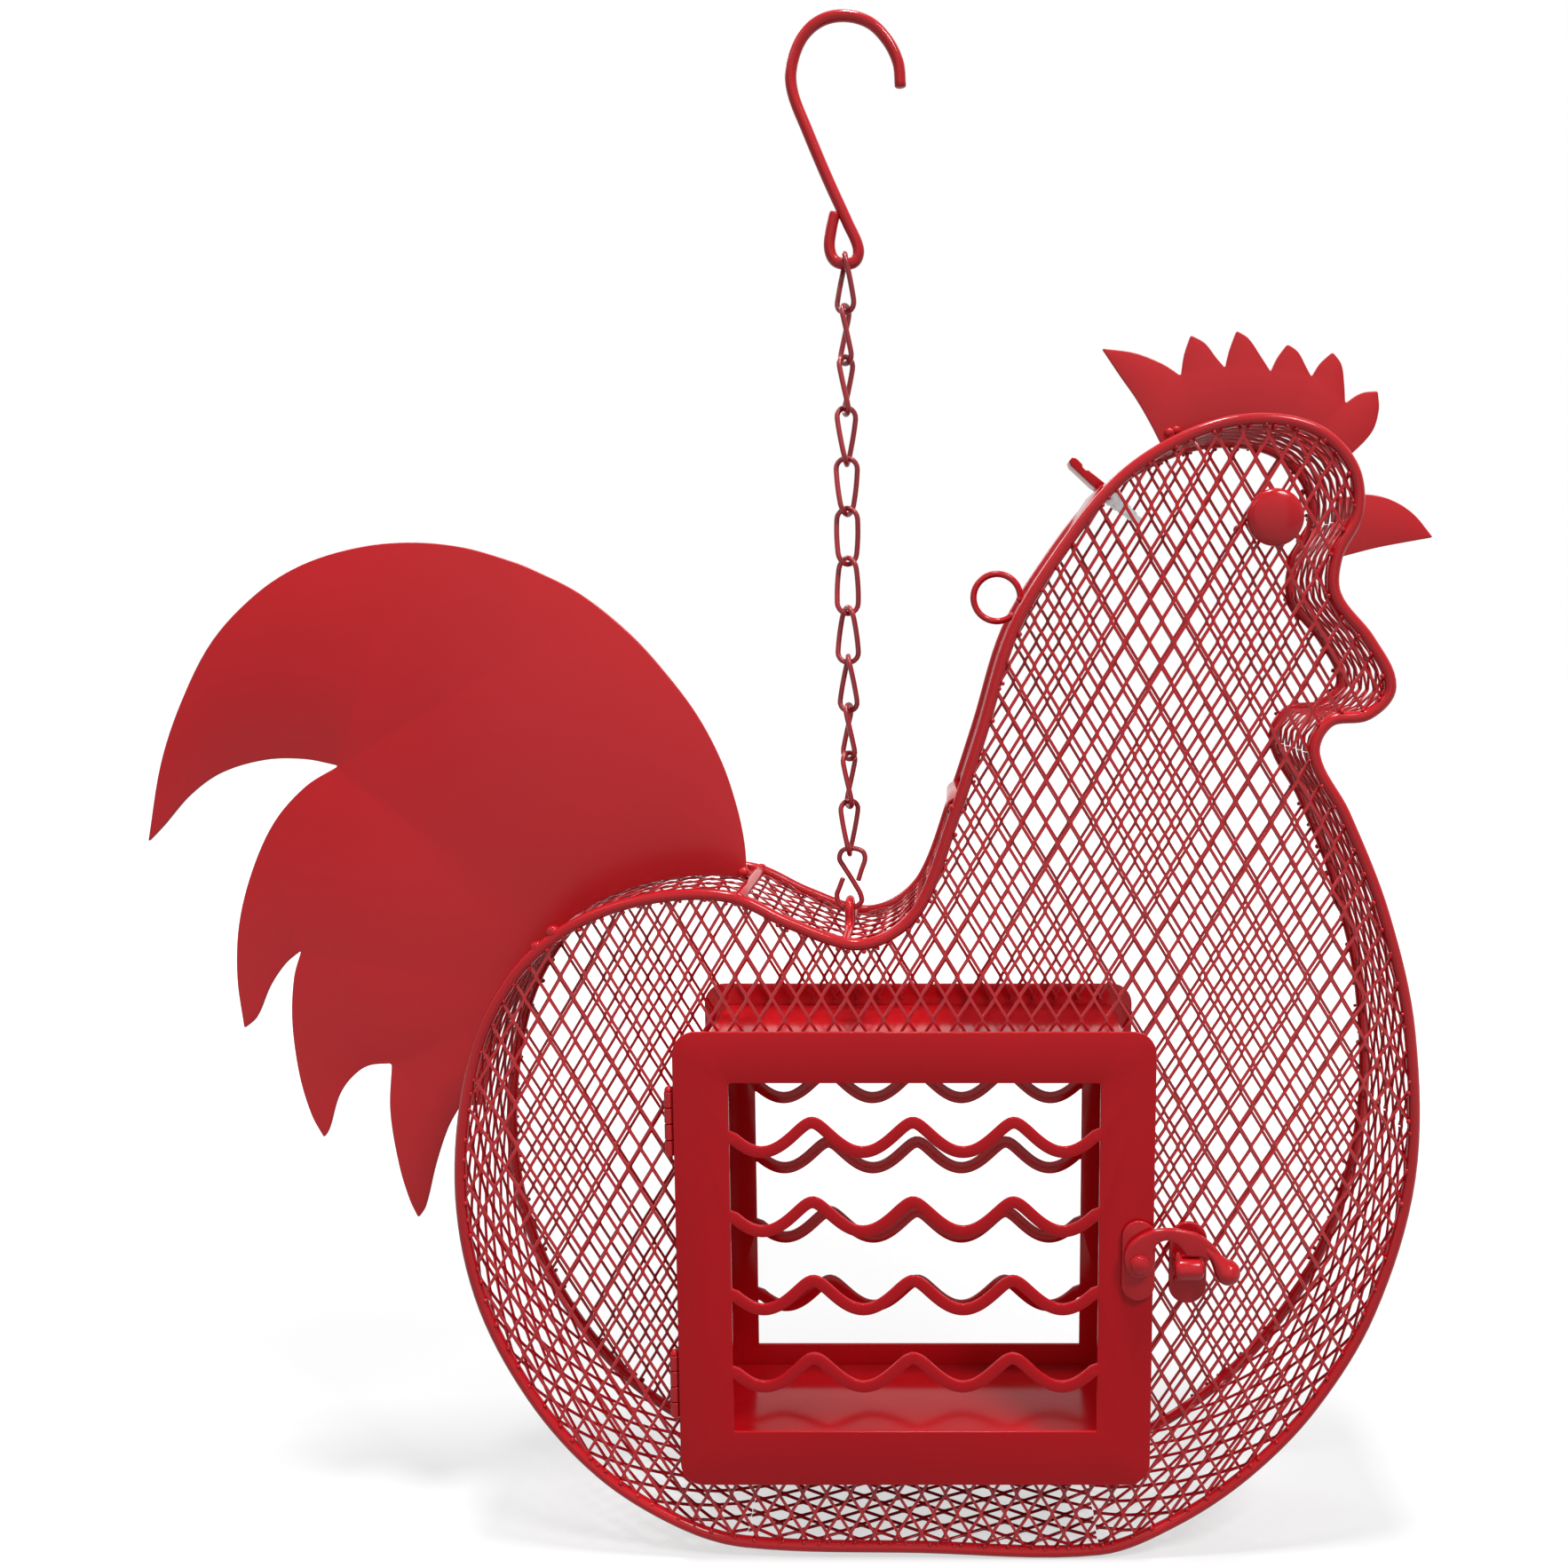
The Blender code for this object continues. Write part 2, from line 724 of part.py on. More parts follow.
def suet_box(finish):
    """Sheet-steel sleeve from the front panel to the back, with a flange behind the door."""
    centre = at(BOX_CENTRE_MM)
    outer = rounded_rectangle(centre, BOX_WIDTH, BOX_HEIGHT, BOX_CORNER)
    inner = rounded_rectangle(
        centre, BOX_WIDTH - 2 * SHEET, BOX_HEIGHT - 2 * SHEET, BOX_CORNER - SHEET
    )
    rim = rounded_rectangle(
        centre, BOX_WIDTH + 2 * FLANGE, BOX_HEIGHT + 2 * FLANGE, BOX_CORNER + FLANGE
    )
    length = BOX_BACK - FLANGE_FRONT
    sleeve = sheet(
        "sleeve", [outer, inner], length, (BOX_BACK + FLANGE_FRONT) / 2, finish
    )
    flange_middle = FLANGE_FRONT + FLANGE_THICKNESS / 2
    flange = sheet("flange", [rim, inner], FLANGE_THICKNESS, flange_middle, finish)
    return joined("suet_box", [sleeve, flange], finish)


def knuckle(name, bottom, height, finish):
    """One rolled knuckle: a short tube round the hinge axis."""
    profile = [
        (KNUCKLE_RADIUS, bottom + height),
        (KNUCKLE_RADIUS, bottom),
        (KNUCKLE_BORE, bottom),
        (KNUCKLE_BORE, bottom + height),
        (KNUCKLE_RADIUS, bottom + height),
    ]
    return turned(name, profile, (HINGE_AXIS.x, HINGE_AXIS.y, 0), (0, 0, 0), finish, 12)


def hinge_leaf(name, centre_z, first, leaf_y, finish):
    """A leaf with every second knuckle, starting with this one from the bottom."""
    height = (HINGE_LENGTH - (KNUCKLES - 1) * GAP) / KNUCKLES
    bottom = centre_z - HINGE_LENGTH / 2
    low_y, high_y = leaf_y - LEAF_THICKNESS / 2, leaf_y + LEAF_THICKNESS / 2
    pieces = [
        box(
            name + "_plate",
            (LEAF_INNER, low_y, bottom),
            (LEAF_OUTER, high_y, bottom + HINGE_LENGTH),
            finish,
        )
    ]
    tab_start = HINGE_AXIS.x + (KNUCKLE_BORE + KNUCKLE_RADIUS) / 2
    for i in range(first, KNUCKLES, 2):
        low = bottom + i * (height + GAP)
        pieces.append(knuckle(f"{name}_knuckle_{i}", low, height, finish))
        pieces.append(
            box(
                f"{name}_tab_{i}",
                (tab_start, low_y, low),
                (LEAF_INNER + GAP, high_y, low + height),
                finish,
            )
        )
    return joined(name, pieces, finish)


def hinge_pin(name, centre_z, finish):
    """Straight pin with a domed head above the top knuckle."""
    top = HINGE_LENGTH / 2 + GAP
    head = 1.35 * MM
    profile = [(0, top + head)]
    for step in range(1, 4):
        angle = math.radians(90) * step / 4
        profile.append((head * math.sin(angle), top + head * math.cos(angle)))
    profile += [
        (head, top),
        (PIN_RADIUS, top),
        (PIN_RADIUS, -HINGE_LENGTH / 2 - 0.9 * MM),
        (0, -HINGE_LENGTH / 2 - 0.9 * MM),
    ]
    return turned(name, profile, (HINGE_AXIS.x, HINGE_AXIS.y, centre_z), (0, 0, 0), finish, 12)


def obround(centre, width, height):
    return rounded_rectangle(centre, width, height, width / 2 - 0.01 * MM, 5)


def latch_arm(finish):
    """Swinging hook: a flat boss round the rivet, a curved arm and a ball at its end."""
    edge = smooth([at(p) for p in ARM_EDGE_MM], closed=True, steps=1)
    bore = arc(at(RIVET_MM), ARM_BORE, 0, 330, 11)
    plate = sheet("latch_arm", [edge, bore], ARM_THICKNESS, ARM_Y, finish)
    bm = bmesh.new()
    bmesh.ops.create_uvsphere(bm, u_segments=12, v_segments=8, radius=ARM_BALL_RADIUS)
    bmesh.ops.translate(bm, vec=in_plane(at(ARM_BALL_MM), ARM_Y), verts=bm.verts)
    ball = from_bmesh("arm_ball", bm, finish)
    return joined("latch_arm", [plate, ball], finish)


def latch(finish):
    sheet(
        "latch_plate",
        [obround(at(RIVET_MM), LATCH_PLATE[0], LATCH_PLATE[1])],
        LATCH_PLATE[2],
        LATCH_PLATE_Y,
        finish,
    )
    latch_arm(finish)
    shank_start = LATCH_PLATE_Y - LATCH_PLATE[2] / 2 - 0.1 * MM
    head_start = ARM_Y - ARM_THICKNESS / 2 - GAP
    shank = shank_start - head_start
    dome = 1.5 * MM
    profile = [(0, shank + dome)]
    for step in range(1, 4):
        angle = math.radians(90) * step / 4
        profile.append((RIVET_HEAD * math.sin(angle), shank + dome * math.cos(angle)))
    profile += [(RIVET_HEAD, shank), (RIVET_SHANK, shank), (RIVET_SHANK, 0), (0, 0)]
    turned(
        "latch_rivet",
        profile,
        in_plane(at(RIVET_MM), shank_start),
        (math.radians(90), 0, 0),
        finish,
    )
    plate_back = -HALF_DEPTH - MESH_THICKNESS / 2 - GAP
    plate_y = plate_back - KEEPER_PLATE[2] / 2
    sheet(
        "keeper_plate",
        [obround(at(KEEPER_MM), KEEPER_PLATE[0], KEEPER_PLATE[1])],
        KEEPER_PLATE[2],
        plate_y,
        finish,
    )
    keeper_staple(plate_y - KEEPER_PLATE[2] / 2 - GAP, finish)


def keeper_staple(back_y, finish):
    """Rolled barrel on a stem, with a small horn at its left that stops the arm from sliding off."""
    centre = at(BARREL_MM)
    half = BARREL_LENGTH / 2
    neck = BARREL_RADIUS - BARREL_ROUNDING
    shoulder = half - BARREL_ROUNDING
    profile = [
        (0, half),
        (neck, half),
        (BARREL_RADIUS, shoulder),
        (BARREL_RADIUS, -shoulder),
        (neck, -half),
        (0, -half),
    ]
    barrel = turned(
        "barrel", profile, in_plane(centre, ARM_Y), (0, math.radians(90), 0), finish, 14
    )
    stem = box(
        "stem",
        (centre.x - half + 0.4 * MM, ARM_Y, centre.y - 2.0 * MM),
        (centre.x + half - 0.4 * MM, back_y, centre.y + 2.0 * MM),
        finish,
    )
    horn_edge = [
        centre + Vector((-half + 0.2 * MM, 0)),
        centre + Vector((-half + 2.3 * MM, 0)),
        centre + Vector((-half + 2.2 * MM, 4.2 * MM)),
        centre + Vector((-half + 1.4 * MM, 5.3 * MM)),
        centre + Vector((-half + 0.4 * MM, 5.0 * MM)),
    ]
    horn = sheet("horn", [horn_edge], 2.0 * MM, ARM_Y, finish)
    return joined("keeper_staple", [barrel, stem, horn], finish)


def eye(name, side, finish):
    """Domed disc on the outside of a side panel."""
    profile = [(0, EYE_RIM + EYE_RISE)]
    for step in range(1, 5):
        angle = math.radians(90) * step / 5
        profile.append(
            (EYE_RADIUS * math.sin(angle), EYE_RIM + EYE_RISE * math.cos(angle))
        )
    profile += [(EYE_RADIUS, EYE_RIM), (EYE_RADIUS, 0), (0, 0)]
    seat = side * (HALF_DEPTH + MESH_THICKNESS / 2 + GAP)
    turn = (math.radians(-90 * side), 0, 0)
    return turned(name, profile, in_plane(at(EYE_MM), seat), turn, finish, 20)


def strokes(lines_mm):
    """The strokes as one line of points, soft within each stroke and with a corner where two meet."""
    found = []
    for number, line in enumerate(lines_mm):
        points = [at(p) for p in line]
        if number:
            points.insert(0, found[-1])
        found = found[:-1] + smooth(points, closed=False)
    return found


def silhouette(name, strokes_mm, clearance, thickness, finish):
    """Flat sheet in the middle plane, whose inner edge follows the outside of the body."""
    edge = strokes(strokes_mm)
    start = min(range(len(OUTLINE)), key=lambda i: (OUTLINE[i] - edge[0]).length)
    end = min(range(len(OUTLINE)), key=lambda i: (OUTLINE[i] - edge[-1]).length)
    outside = offset(OUTLINE, -clearance)
    count = len(OUTLINE)
    inner = []
    i = end
    step = 1 if (start - end) % count < count / 2 else -1
    while True:
        inner.append(outside[i])
        if i == start:
            break
        i = (i + step) % count
    return sheet(name, [edge + inner], thickness, 0, finish)


def top_hook(finish):
    """Wide crook above, small eye below, in one bent wire."""
    line = smooth([at(p) for p in HOOK_MM], closed=False)
    return wire("top_hook", [in_plane(p, 0) for p in line], HOOK_WIRE / 2, finish, sides=1)


def twisted_link(name, top, pitch, angle, finish):
    """Long round-ended link, twisted about its length, whose upper inside is at top."""
    radius = CHAIN_WIRE / 2
    crown = (LINK_WIDTH - CHAIN_WIRE) / 2
    half = pitch / 2 + radius
    straight = half - crown
    loop = []
    turns = 4
    for side in (1, -1):
        for step in range(turns + 1):
            a = math.pi * step / turns
            loop.append(
                Vector((side * crown * math.cos(a), side * (straight + crown * math.sin(a))))
            )
    points = []
    for across, height in loop:
        turn = angle + LINK_TWIST * (half - height) / (2 * half)
        z = top + radius - half + height
        points.append(Vector((across * math.cos(turn), across * math.sin(turn), z)))
    return wire(name, points, radius, finish, closed=True, sides=1)


def chain(finish):
    """Twelve links; each hangs in the one above, turned a quarter from that link's lower end."""
    pitch = (HOOK_EYE_BOTTOM - SMALL_HOOK_TOP) / LINKS
    angle = FIRST_LINK_ANGLE
    for number in range(1, LINKS + 1):
        top = HOOK_EYE_BOTTOM + LINK_CONTACT - (number - 1) * pitch
        twisted_link(f"chain_link_{number:02d}", top, pitch + LINK_CONTACT, angle, finish)
        angle += LINK_TWIST + math.radians(90)


def s_hook(finish):
    line = smooth([at(p) for p in SMALL_HOOK_MM], closed=False)
    return wire("s_hook", [in_plane(p, 0) for p in line], CHAIN_WIRE / 2, finish, sides=1)


def hanger_rod(finish):
    """Rod across the saddle, bent up in its middle into the hoop that carries the body."""
    centre = at((0, 0)).y
    crown = centre + HOOP_WIRE / 2 + LINK_CONTACT / 2
    low = centre + ROD_DROP
    end = ROD_LENGTH / 2
    side = [(end, low), (HOOP_HALF_WIDTH + 4.0 * MM, low), (HOOP_HALF_WIDTH + 1.4 * MM, low + 0.8 * MM)]
    side += [(HOOP_HALF_WIDTH, low + 3.0 * MM), (HOOP_HALF_WIDTH - 0.4 * MM, crown - 2.4 * MM)]
    side += [(HOOP_HALF_WIDTH - 1.8 * MM, crown - 0.6 * MM)]
    half = [Vector((0, y, z)) for y, z in side]
    other = [Vector((0, -y, z)) for y, z in reversed(side)]
    points = half + [Vector((0, 0, crown))] + other
    return wire("hanger_rod", points, HOOP_WIRE / 2, finish)


def cross_rod(name, place_mm, finish):
    half = ROD_LENGTH / 2
    ends = [in_plane(at(place_mm), -half), in_plane(at(place_mm), half)]
    return wire(name, ends, ROD_RADIUS, finish)


def lid(finish):
    """Curved sheet that fills the back of the neck, curled round its cross rod at the lower end."""
    line = stretch(NECK_ROD_MM, LID_ROD_MM, ROD_RADIUS + 2 * GAP, CURL_RADIUS + 1.0 * MM)
    pivot = at(LID_ROD_MM)
    heading = (line[-1] - line[0]).normalized()
    arrive = math.degrees(math.atan2(-heading.x, heading.y)) + 180
    curl = arc(pivot, CURL_RADIUS, arrive, arrive + 250, 10)
    path = line[:-1] + curl
    bm = bmesh.new()
    corners = [bm.verts.new(in_plane(p, -LID_WIDTH / 2)) for p in path]
    edges = [bm.edges.new(pair) for pair in zip(corners, corners[1:])]
    made = bmesh.ops.extrude_edge_only(bm, edges=edges)
    moved = [item for item in made["geom"] if isinstance(item, bmesh.types.BMVert)]
    bmesh.ops.translate(bm, vec=(0, LID_WIDTH, 0), verts=moved)
    shell = from_bmesh("lid", bm, finish)
    solid = shell.modifiers.new("Sheet", "SOLIDIFY")
    solid.thickness = LID_THICKNESS
    solid.offset = 0
    return shell


def pull_ring(finish):
    """Open wire ring standing out from the lid, with its two ends on it."""
    start = RING_FACING_DEGREES + RING_GAP_DEGREES
    end = RING_FACING_DEGREES + 360 - RING_GAP_DEGREES
    line = arc(at(RING_CENTRE_MM), RING_RADIUS, start, end, 18)
    return wire("pull_ring", [in_plane(p, 0) for p in line], RING_WIRE / 2, finish, sides=1)


def strip(name, start, heading, outline, width, finish):
    """Flat strip seen edge-on, from its (along, across) outline about a start and a heading."""
    side = Vector((-heading.y, heading.x))
    edge = [start + heading * a + side * b for a, b in outline]
    return sheet(name, [edge], width, 0, finish)


def catch(red, zinc):
    """Lid catch on the neck rod: a painted tab outside, a bare ridged spring piece inside."""
    angle = math.radians(CATCH_AXIS_DEGREES)
    out = Vector((math.cos(angle), math.sin(angle)))
    start = at(NECK_ROD_MM)
    near = ROD_RADIUS + GAP
    half = TAB_THICKNESS / 2
    far = near + TAB_LENGTH
    tab = [
        (near, -half),
        (near + 2.5 * MM, -half - 0.3 * MM),
        (far - 1.2 * MM, -half),
        (far, -half + 0.7 * MM),
        (far, half - 0.7 * MM),
        (far - 1.2 * MM, half),
        (far - 3.6 * MM, half - 0.2 * MM),
        (far - 4.4 * MM, half - 1.5 * MM),
        (far - 5.6 * MM, half - 1.5 * MM),
        (far - 6.2 * MM, half - 0.3 * MM),
        (near, half),
    ]
    tab = [(a, -b) for a, b in reversed(tab)]
    strip("catch_tab", start, out, tab, CATCH_WIDTH, red)
    ridges = 4
    ridge = SPRING_LENGTH / (ridges + 1)
    lower, upper = [], []
    for i in range(ridges + 1):
        a = near + i * ridge
        thick = SPRING_THICKNESS / 2 * (1 if i else 1.35)
        lower += [(a, -thick), (a + ridge * 0.6, -thick)]
        upper += [(a, thick), (a + ridge * 0.6, thick)]
        if i < ridges:
            lower += [(a + ridge * 0.7, -thick + 0.6 * MM), (a + ridge * 0.9, -thick + 0.6 * MM)]
            upper += [(a + ridge * 0.7, thick - 0.6 * MM), (a + ridge * 0.9, thick - 0.6 * MM)]
    strip("catch_spring", start, -out, lower + upper[::-1], CATCH_WIDTH - 3 * MM, zinc)


def bands(red):
    rod = ROD_RADIUS + GAP
    hanger = HOOP_WIRE / 2 + GAP
    seam = GAP / 2
    hanger_mm = (0.0, ROD_DROP / MM)
    plan = (
        ("band_saddle_left", hanger_mm, TAIL_ROD_MM, hanger, rod),
        ("band_tail", TAIL_ROD_MM, REAR_ROD_MM, rod, rod),
        ("band_rump", REAR_ROD_MM, BASE_LEFT_MM, rod, seam),
        ("band_base", BASE_LEFT_MM, BASE_RIGHT_MM, seam, seam),
        ("band_belly", BASE_RIGHT_MM, BELLY_SEAM_MM, seam, seam),
        ("band_chest", BELLY_SEAM_MM, CHEST_SEAM_MM, seam, seam),
        ("band_throat", CHEST_SEAM_MM, HEAD_SEAM_MM, seam, seam),
        ("band_crown", HEAD_SEAM_MM, NECK_ROD_MM, seam, rod),
        ("band_saddle_right", LID_ROD_MM, hanger_mm, rod + 1.4 * MM, hanger),
    )
    for name, start, end, start_gap, end_gap in plan:
        band(name, stretch(start, end, start_gap, end_gap), red)


def pivot(name, place, pieces):
    """An empty on a joint's axis that carries these pieces, which stay where they are."""
    joint = bpy.data.objects.new(name, None)
    joint.empty_display_size = 5 * MM
    joint.location = place
    parts.objects.link(joint)
    for piece in pieces:
        child = bpy.data.objects[piece]
        child.parent = joint
        child.matrix_parent_inverse = Matrix.Translation(-Vector(place))


def pivots():
    """One empty for each body that swings or turns, at the place its joint is declared."""
    pitch = (HOOK_EYE_BOTTOM - SMALL_HOOK_TOP) / LINKS
    pivot("link_01_pivot", (0, 0, HOOK_EYE_BOTTOM - HOOK_WIRE / 2), ["chain_link_01"])
    for number in range(2, LINKS + 1):
        height = HOOK_EYE_BOTTOM - (number - 1) * pitch - CHAIN_WIRE / 2
        pivot(f"link_{number:02d}_pivot", (0, 0, height), [f"chain_link_{number:02d}"])
    pivot("s_hook_pivot", (0, 0, SMALL_HOOK_TOP - CHAIN_WIRE / 2), ["s_hook"])
    swinging = {"top_hook", "s_hook", "lid", "pull_ring", "latch_arm"}
    on_door = {"door", "hinge_door_leaf_upper", "hinge_door_leaf_lower", "latch_plate", "latch_rivet"}
    solids = [made.name for made in parts.objects if made.type != "EMPTY"]
    links = {name for name in solids if name.startswith("chain_link")}
    fixed = [name for name in solids if name not in swinging | on_door | links]
    pivot("feeder_pivot", in_plane(at((0.0, -1.1)), 0), fixed)
    pivot("door_pivot", (HINGE_AXIS.x, HINGE_AXIS.y, at(BOX_CENTRE_MM).y), sorted(on_door))
    pivot("latch_pivot", in_plane(at(RIVET_MM), ARM_Y), ["latch_arm"])
    pivot("lid_pivot", in_plane(at(LID_ROD_MM), 0), ["lid", "pull_ring"])


def build():
    red = material("powder_coated_steel", STEEL_RED, 0.32, 0.0)
    zinc = material("zinc_plated_steel", ZINC_GREY, 0.42, 1.0)
    frame_line = [in_plane(p, 0) for p in OUTLINE]
    for name, y in (("front_frame", -HALF_DEPTH), ("back_frame", HALF_DEPTH)):
        wire(name, frame_line, FRAME_RADIUS, red, closed=True, sides=1).location.y = y
    mesh_panel("front_mesh", -HALF_DEPTH, red)
    mesh_panel("back_mesh", HALF_DEPTH, red)
    bands(red)
    hanger_rod(red)
    cross_rod("tail_rod", TAIL_ROD_MM, red)
    cross_rod("rear_rod", REAR_ROD_MM, red)
    cross_rod("lid_rod", LID_ROD_MM, red)
    cross_rod("neck_rod", NECK_ROD_MM, red)
    suet_box(red)
    grille("back_grille", BOX_BACK + GAP + PLATE / 2, BACK_WINDOW_UP, red)
    grille("door", (DOOR_BACK + DOOR_FRONT) / 2, DOOR_WINDOW_UP, red)
    for place, up in HINGE_CENTRES_MM.items():
        centre_z = at((0, up)).y
        frame_leaf_y = FLANGE_FRONT - GAP - LEAF_THICKNESS / 2
        door_leaf_y = DOOR_BACK + GAP + LEAF_THICKNESS / 2
        hinge_leaf(f"hinge_frame_leaf_{place}", centre_z, 0, frame_leaf_y, red)
        hinge_leaf(f"hinge_door_leaf_{place}", centre_z, 1, door_leaf_y, red)
        hinge_pin(f"hinge_pin_{place}", centre_z, red)
    latch(red)
    eye("eye_front", -1, red)
    eye("eye_back", 1, red)
    silhouette("tail", TAIL_STROKES_MM, ROD_RADIUS + GAP, TAIL_SHEET, red)
    silhouette("comb", COMB_STROKES_MM, HEAD_CLEARANCE, PLATE, red)
    silhouette("beak", BEAK_STROKES_MM, HEAD_CLEARANCE, PLATE, red)
    lid(red)
    pull_ring(red)
    catch(red, zinc)
    top_hook(red)
    chain(red)
    s_hook(red)
    pivots()


for old in list(bpy.data.objects):
    bpy.data.objects.remove(old)
parts = bpy.data.collections.new("bird_feeder")
bpy.context.scene.collection.children.link(parts)
cutters = bpy.data.collections.new("cutters")
bpy.context.scene.collection.children.link(cutters)
build()
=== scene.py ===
"""Hanging bird feeder in the shape of a cockerel: expanded metal and bent wire round a suet box.

The pieces are modelled in millimetres and finished in metres, with the inside of the top hook's
crown as origin: +X runs to the head, +Y to the back, +Z up. Each new piece stands for CAD solids
and moves with their body.
"""

import json
import math
import random

import bmesh
import bpy
from mathutils import Matrix, Vector
from mathutils.geometry import interpolate_bezier
from mathutils.kdtree import KDTree


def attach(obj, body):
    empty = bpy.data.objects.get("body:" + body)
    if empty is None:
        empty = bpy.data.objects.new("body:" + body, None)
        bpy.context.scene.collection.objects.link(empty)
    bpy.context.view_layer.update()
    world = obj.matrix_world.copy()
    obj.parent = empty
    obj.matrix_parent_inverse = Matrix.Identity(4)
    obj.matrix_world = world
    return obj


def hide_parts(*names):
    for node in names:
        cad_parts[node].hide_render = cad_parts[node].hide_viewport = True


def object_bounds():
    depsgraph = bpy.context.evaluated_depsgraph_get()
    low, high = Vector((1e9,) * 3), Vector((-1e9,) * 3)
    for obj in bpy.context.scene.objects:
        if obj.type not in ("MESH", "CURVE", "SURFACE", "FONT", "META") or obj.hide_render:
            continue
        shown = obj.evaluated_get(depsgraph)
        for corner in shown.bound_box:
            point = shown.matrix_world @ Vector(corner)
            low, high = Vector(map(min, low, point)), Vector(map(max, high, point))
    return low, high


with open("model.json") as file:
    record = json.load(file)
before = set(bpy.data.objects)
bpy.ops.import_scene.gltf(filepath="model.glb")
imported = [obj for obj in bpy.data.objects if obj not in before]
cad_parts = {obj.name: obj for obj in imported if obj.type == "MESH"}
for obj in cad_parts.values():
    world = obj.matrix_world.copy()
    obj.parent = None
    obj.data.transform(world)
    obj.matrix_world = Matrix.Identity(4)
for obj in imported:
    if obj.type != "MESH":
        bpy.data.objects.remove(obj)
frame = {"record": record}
cad_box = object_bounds()
bodies = frame["record"]["behaviour"]["bodies"]
body_of = {node: body for body, nodes in bodies.items() for node in nodes}
chance = random.Random(7)  # the same draws in every run

MM = 0.001
HANGER_Z = -260.1  # where the small hook carries the body
HALF_DEPTH = 25.0  # from the middle plane to each frame's centreline
WIRE = 1.75  # radius of the frames and of the cross rods
CLEARANCE = 0.3  # between pieces that touch or are welded
SNAP = 0.0001  # points this close to a cut are on it
SHARP_ANGLE = math.radians(40)

# Body outline about the hanger, anticlockwise from the saddle as seen from the front
OUTLINE_KNOTS = (
    (2.0, -6.8), (-16.0, -0.6), (-34.0, 7.4), (-58.0, 6.6), (-80.0, -1.4),
    (-97.0, -16.0), (-109.5, -40.0), (-115.5, -79.0), (-111.0, -114.6), (-96.4, -146.7),
    (-76.1, -171.7), (-52.3, -187.9), (-31.9, -194.5), (22.0, -196.3), (77.0, -197.0),
    (100.3, -187.5), (121.9, -171.9), (141.3, -150.3), (158.0, -119.9), (168.5, -77.9),
    (166.8, -33.2), (157.9, 2.2), (145.5, 31.7), (136.2, 49.0), (140.1, 58.5),
    (151.4, 60.8), (157.5, 68.7), (151.1, 81.8), (140.9, 94.8), (141.0, 105.9),
    (146.5, 118.1), (144.2, 131.5), (132.5, 141.6), (113.0, 143.6), (94.5, 137.7),
    (77.6, 126.0), (62.4, 107.0), (49.0, 84.5), (40.0, 55.0), (31.5, 29.0),
    (22.5, 5.0), (13.0, -4.2),
)

# Places along the outline
HANGER_ROD = (0.0, -6.8)
TAIL_ROD = (-31.0, 6.6)
REAR_ROD = (-89.5, -8.4)
LID_ROD = (32.9, 33.2)
NECK_ROD = (77.6, 126.0)
HEAD_SEAM = (146.4, 117.0)
CHEST_SEAM = (136.2, 49.0)
BELLY_SEAM = (168.6, -66.0)
BASE_RIGHT = (77.0, -197.0)
BASE_LEFT = (-31.9, -194.5)

# Expanded metal
LONG_WAY = 13.0
SHORT_WAY = 7.3
BOND = 0.9
BOND_SHARE = 0.95  # the smaller, the wider the bonds
STRAND = 0.68
STRAND_THICKNESS = 0.5
STRAND_ROUNDING = 0.15
STRAND_LEAN = 0.6  # one edge of each strand stands this far before the other
BAND_LEAN = 0.9
MESH_BOND = (88.0, 120.1)  # one bond of the front panel
MESH_GAP = 2.0  # between the box and the panels' cut-outs, which the flange covers
TRIM_INSET = 0.9  # from a frame's centreline to the panel's edge

# Lumps on the frames: where a strand runs onto one, and where a cross rod is welded
NUB_RADIUS = 0.7
NUB_INWARD = 1.1
NUB_OUTSIDE = 0.9
ROD_WELD = 2.0

# Suet box, door and back grille
BOX_CENTRE = (20.5, -102.4)
BOX_WIDTH = 131.0
BOX_HEIGHT = 127.0
BOX_CORNER = 3.0
BOX_SHEET = 1.0
FLANGE = 5.2  # how far it stands out round the box, behind the door
FLANGE_THICKNESS = 0.8
DOOR_WIDTH = 142.0
DOOR_HEIGHT = 141.0
DOOR_CORNER = 6.7
DOOR_RAIL = 16.3  # width of the plate on each side of its window
PLATE = 1.2
BARS = 4
BAR_PITCH = 24.4
BAR_WIDTH = 3.45
BACK_BAR_WIDTH = 3.85
BAR_RISE = 9.0  # from trough to crest
BAR_WAVE = 29.8  # from crest to crest
BAR_CREST = 0.3  # the smaller, the sharper the crests against the troughs
FRONT_BARS_AT = (-0.5, 1.05)  # from the middle of the window to that of the bars
BACK_BARS_AT = (-0.5, 0.6)
DOOR_WINDOW_UP = 0.9  # from the middle of the plate to that of its window
BACK_WINDOW_UP = -1.3
DOOR_FILLET = 1.0
BACK_FILLET = 1.5
FLANGE_FRONT = -HALF_DEPTH - 1.6
DOOR_BACK = -HALF_DEPTH - 3.7
DOOR_FRONT = DOOR_BACK - PLATE
BOX_BACK = HALF_DEPTH + 0.7

# Hinges
HINGE_AXIS = (-52.0, -HALF_DEPTH - 2.65)  # in x and y
HINGE_LENGTH = 19.5
HINGE_CENTRES = {"upper": -60.1, "lower": -142.0}  # heights about the hanger
KNUCKLES = 4
KNUCKLE_GAP = 0.3
KNUCKLE_RADIUS = 1.5
KNUCKLE_BORE = 0.85
LEAF_THICKNESS = 0.6
LEAF_INNER = -50.2
LEAF_OUTER = -45.6
LEAF_ROUNDING = 0.15
PIN_RADIUS = 0.75

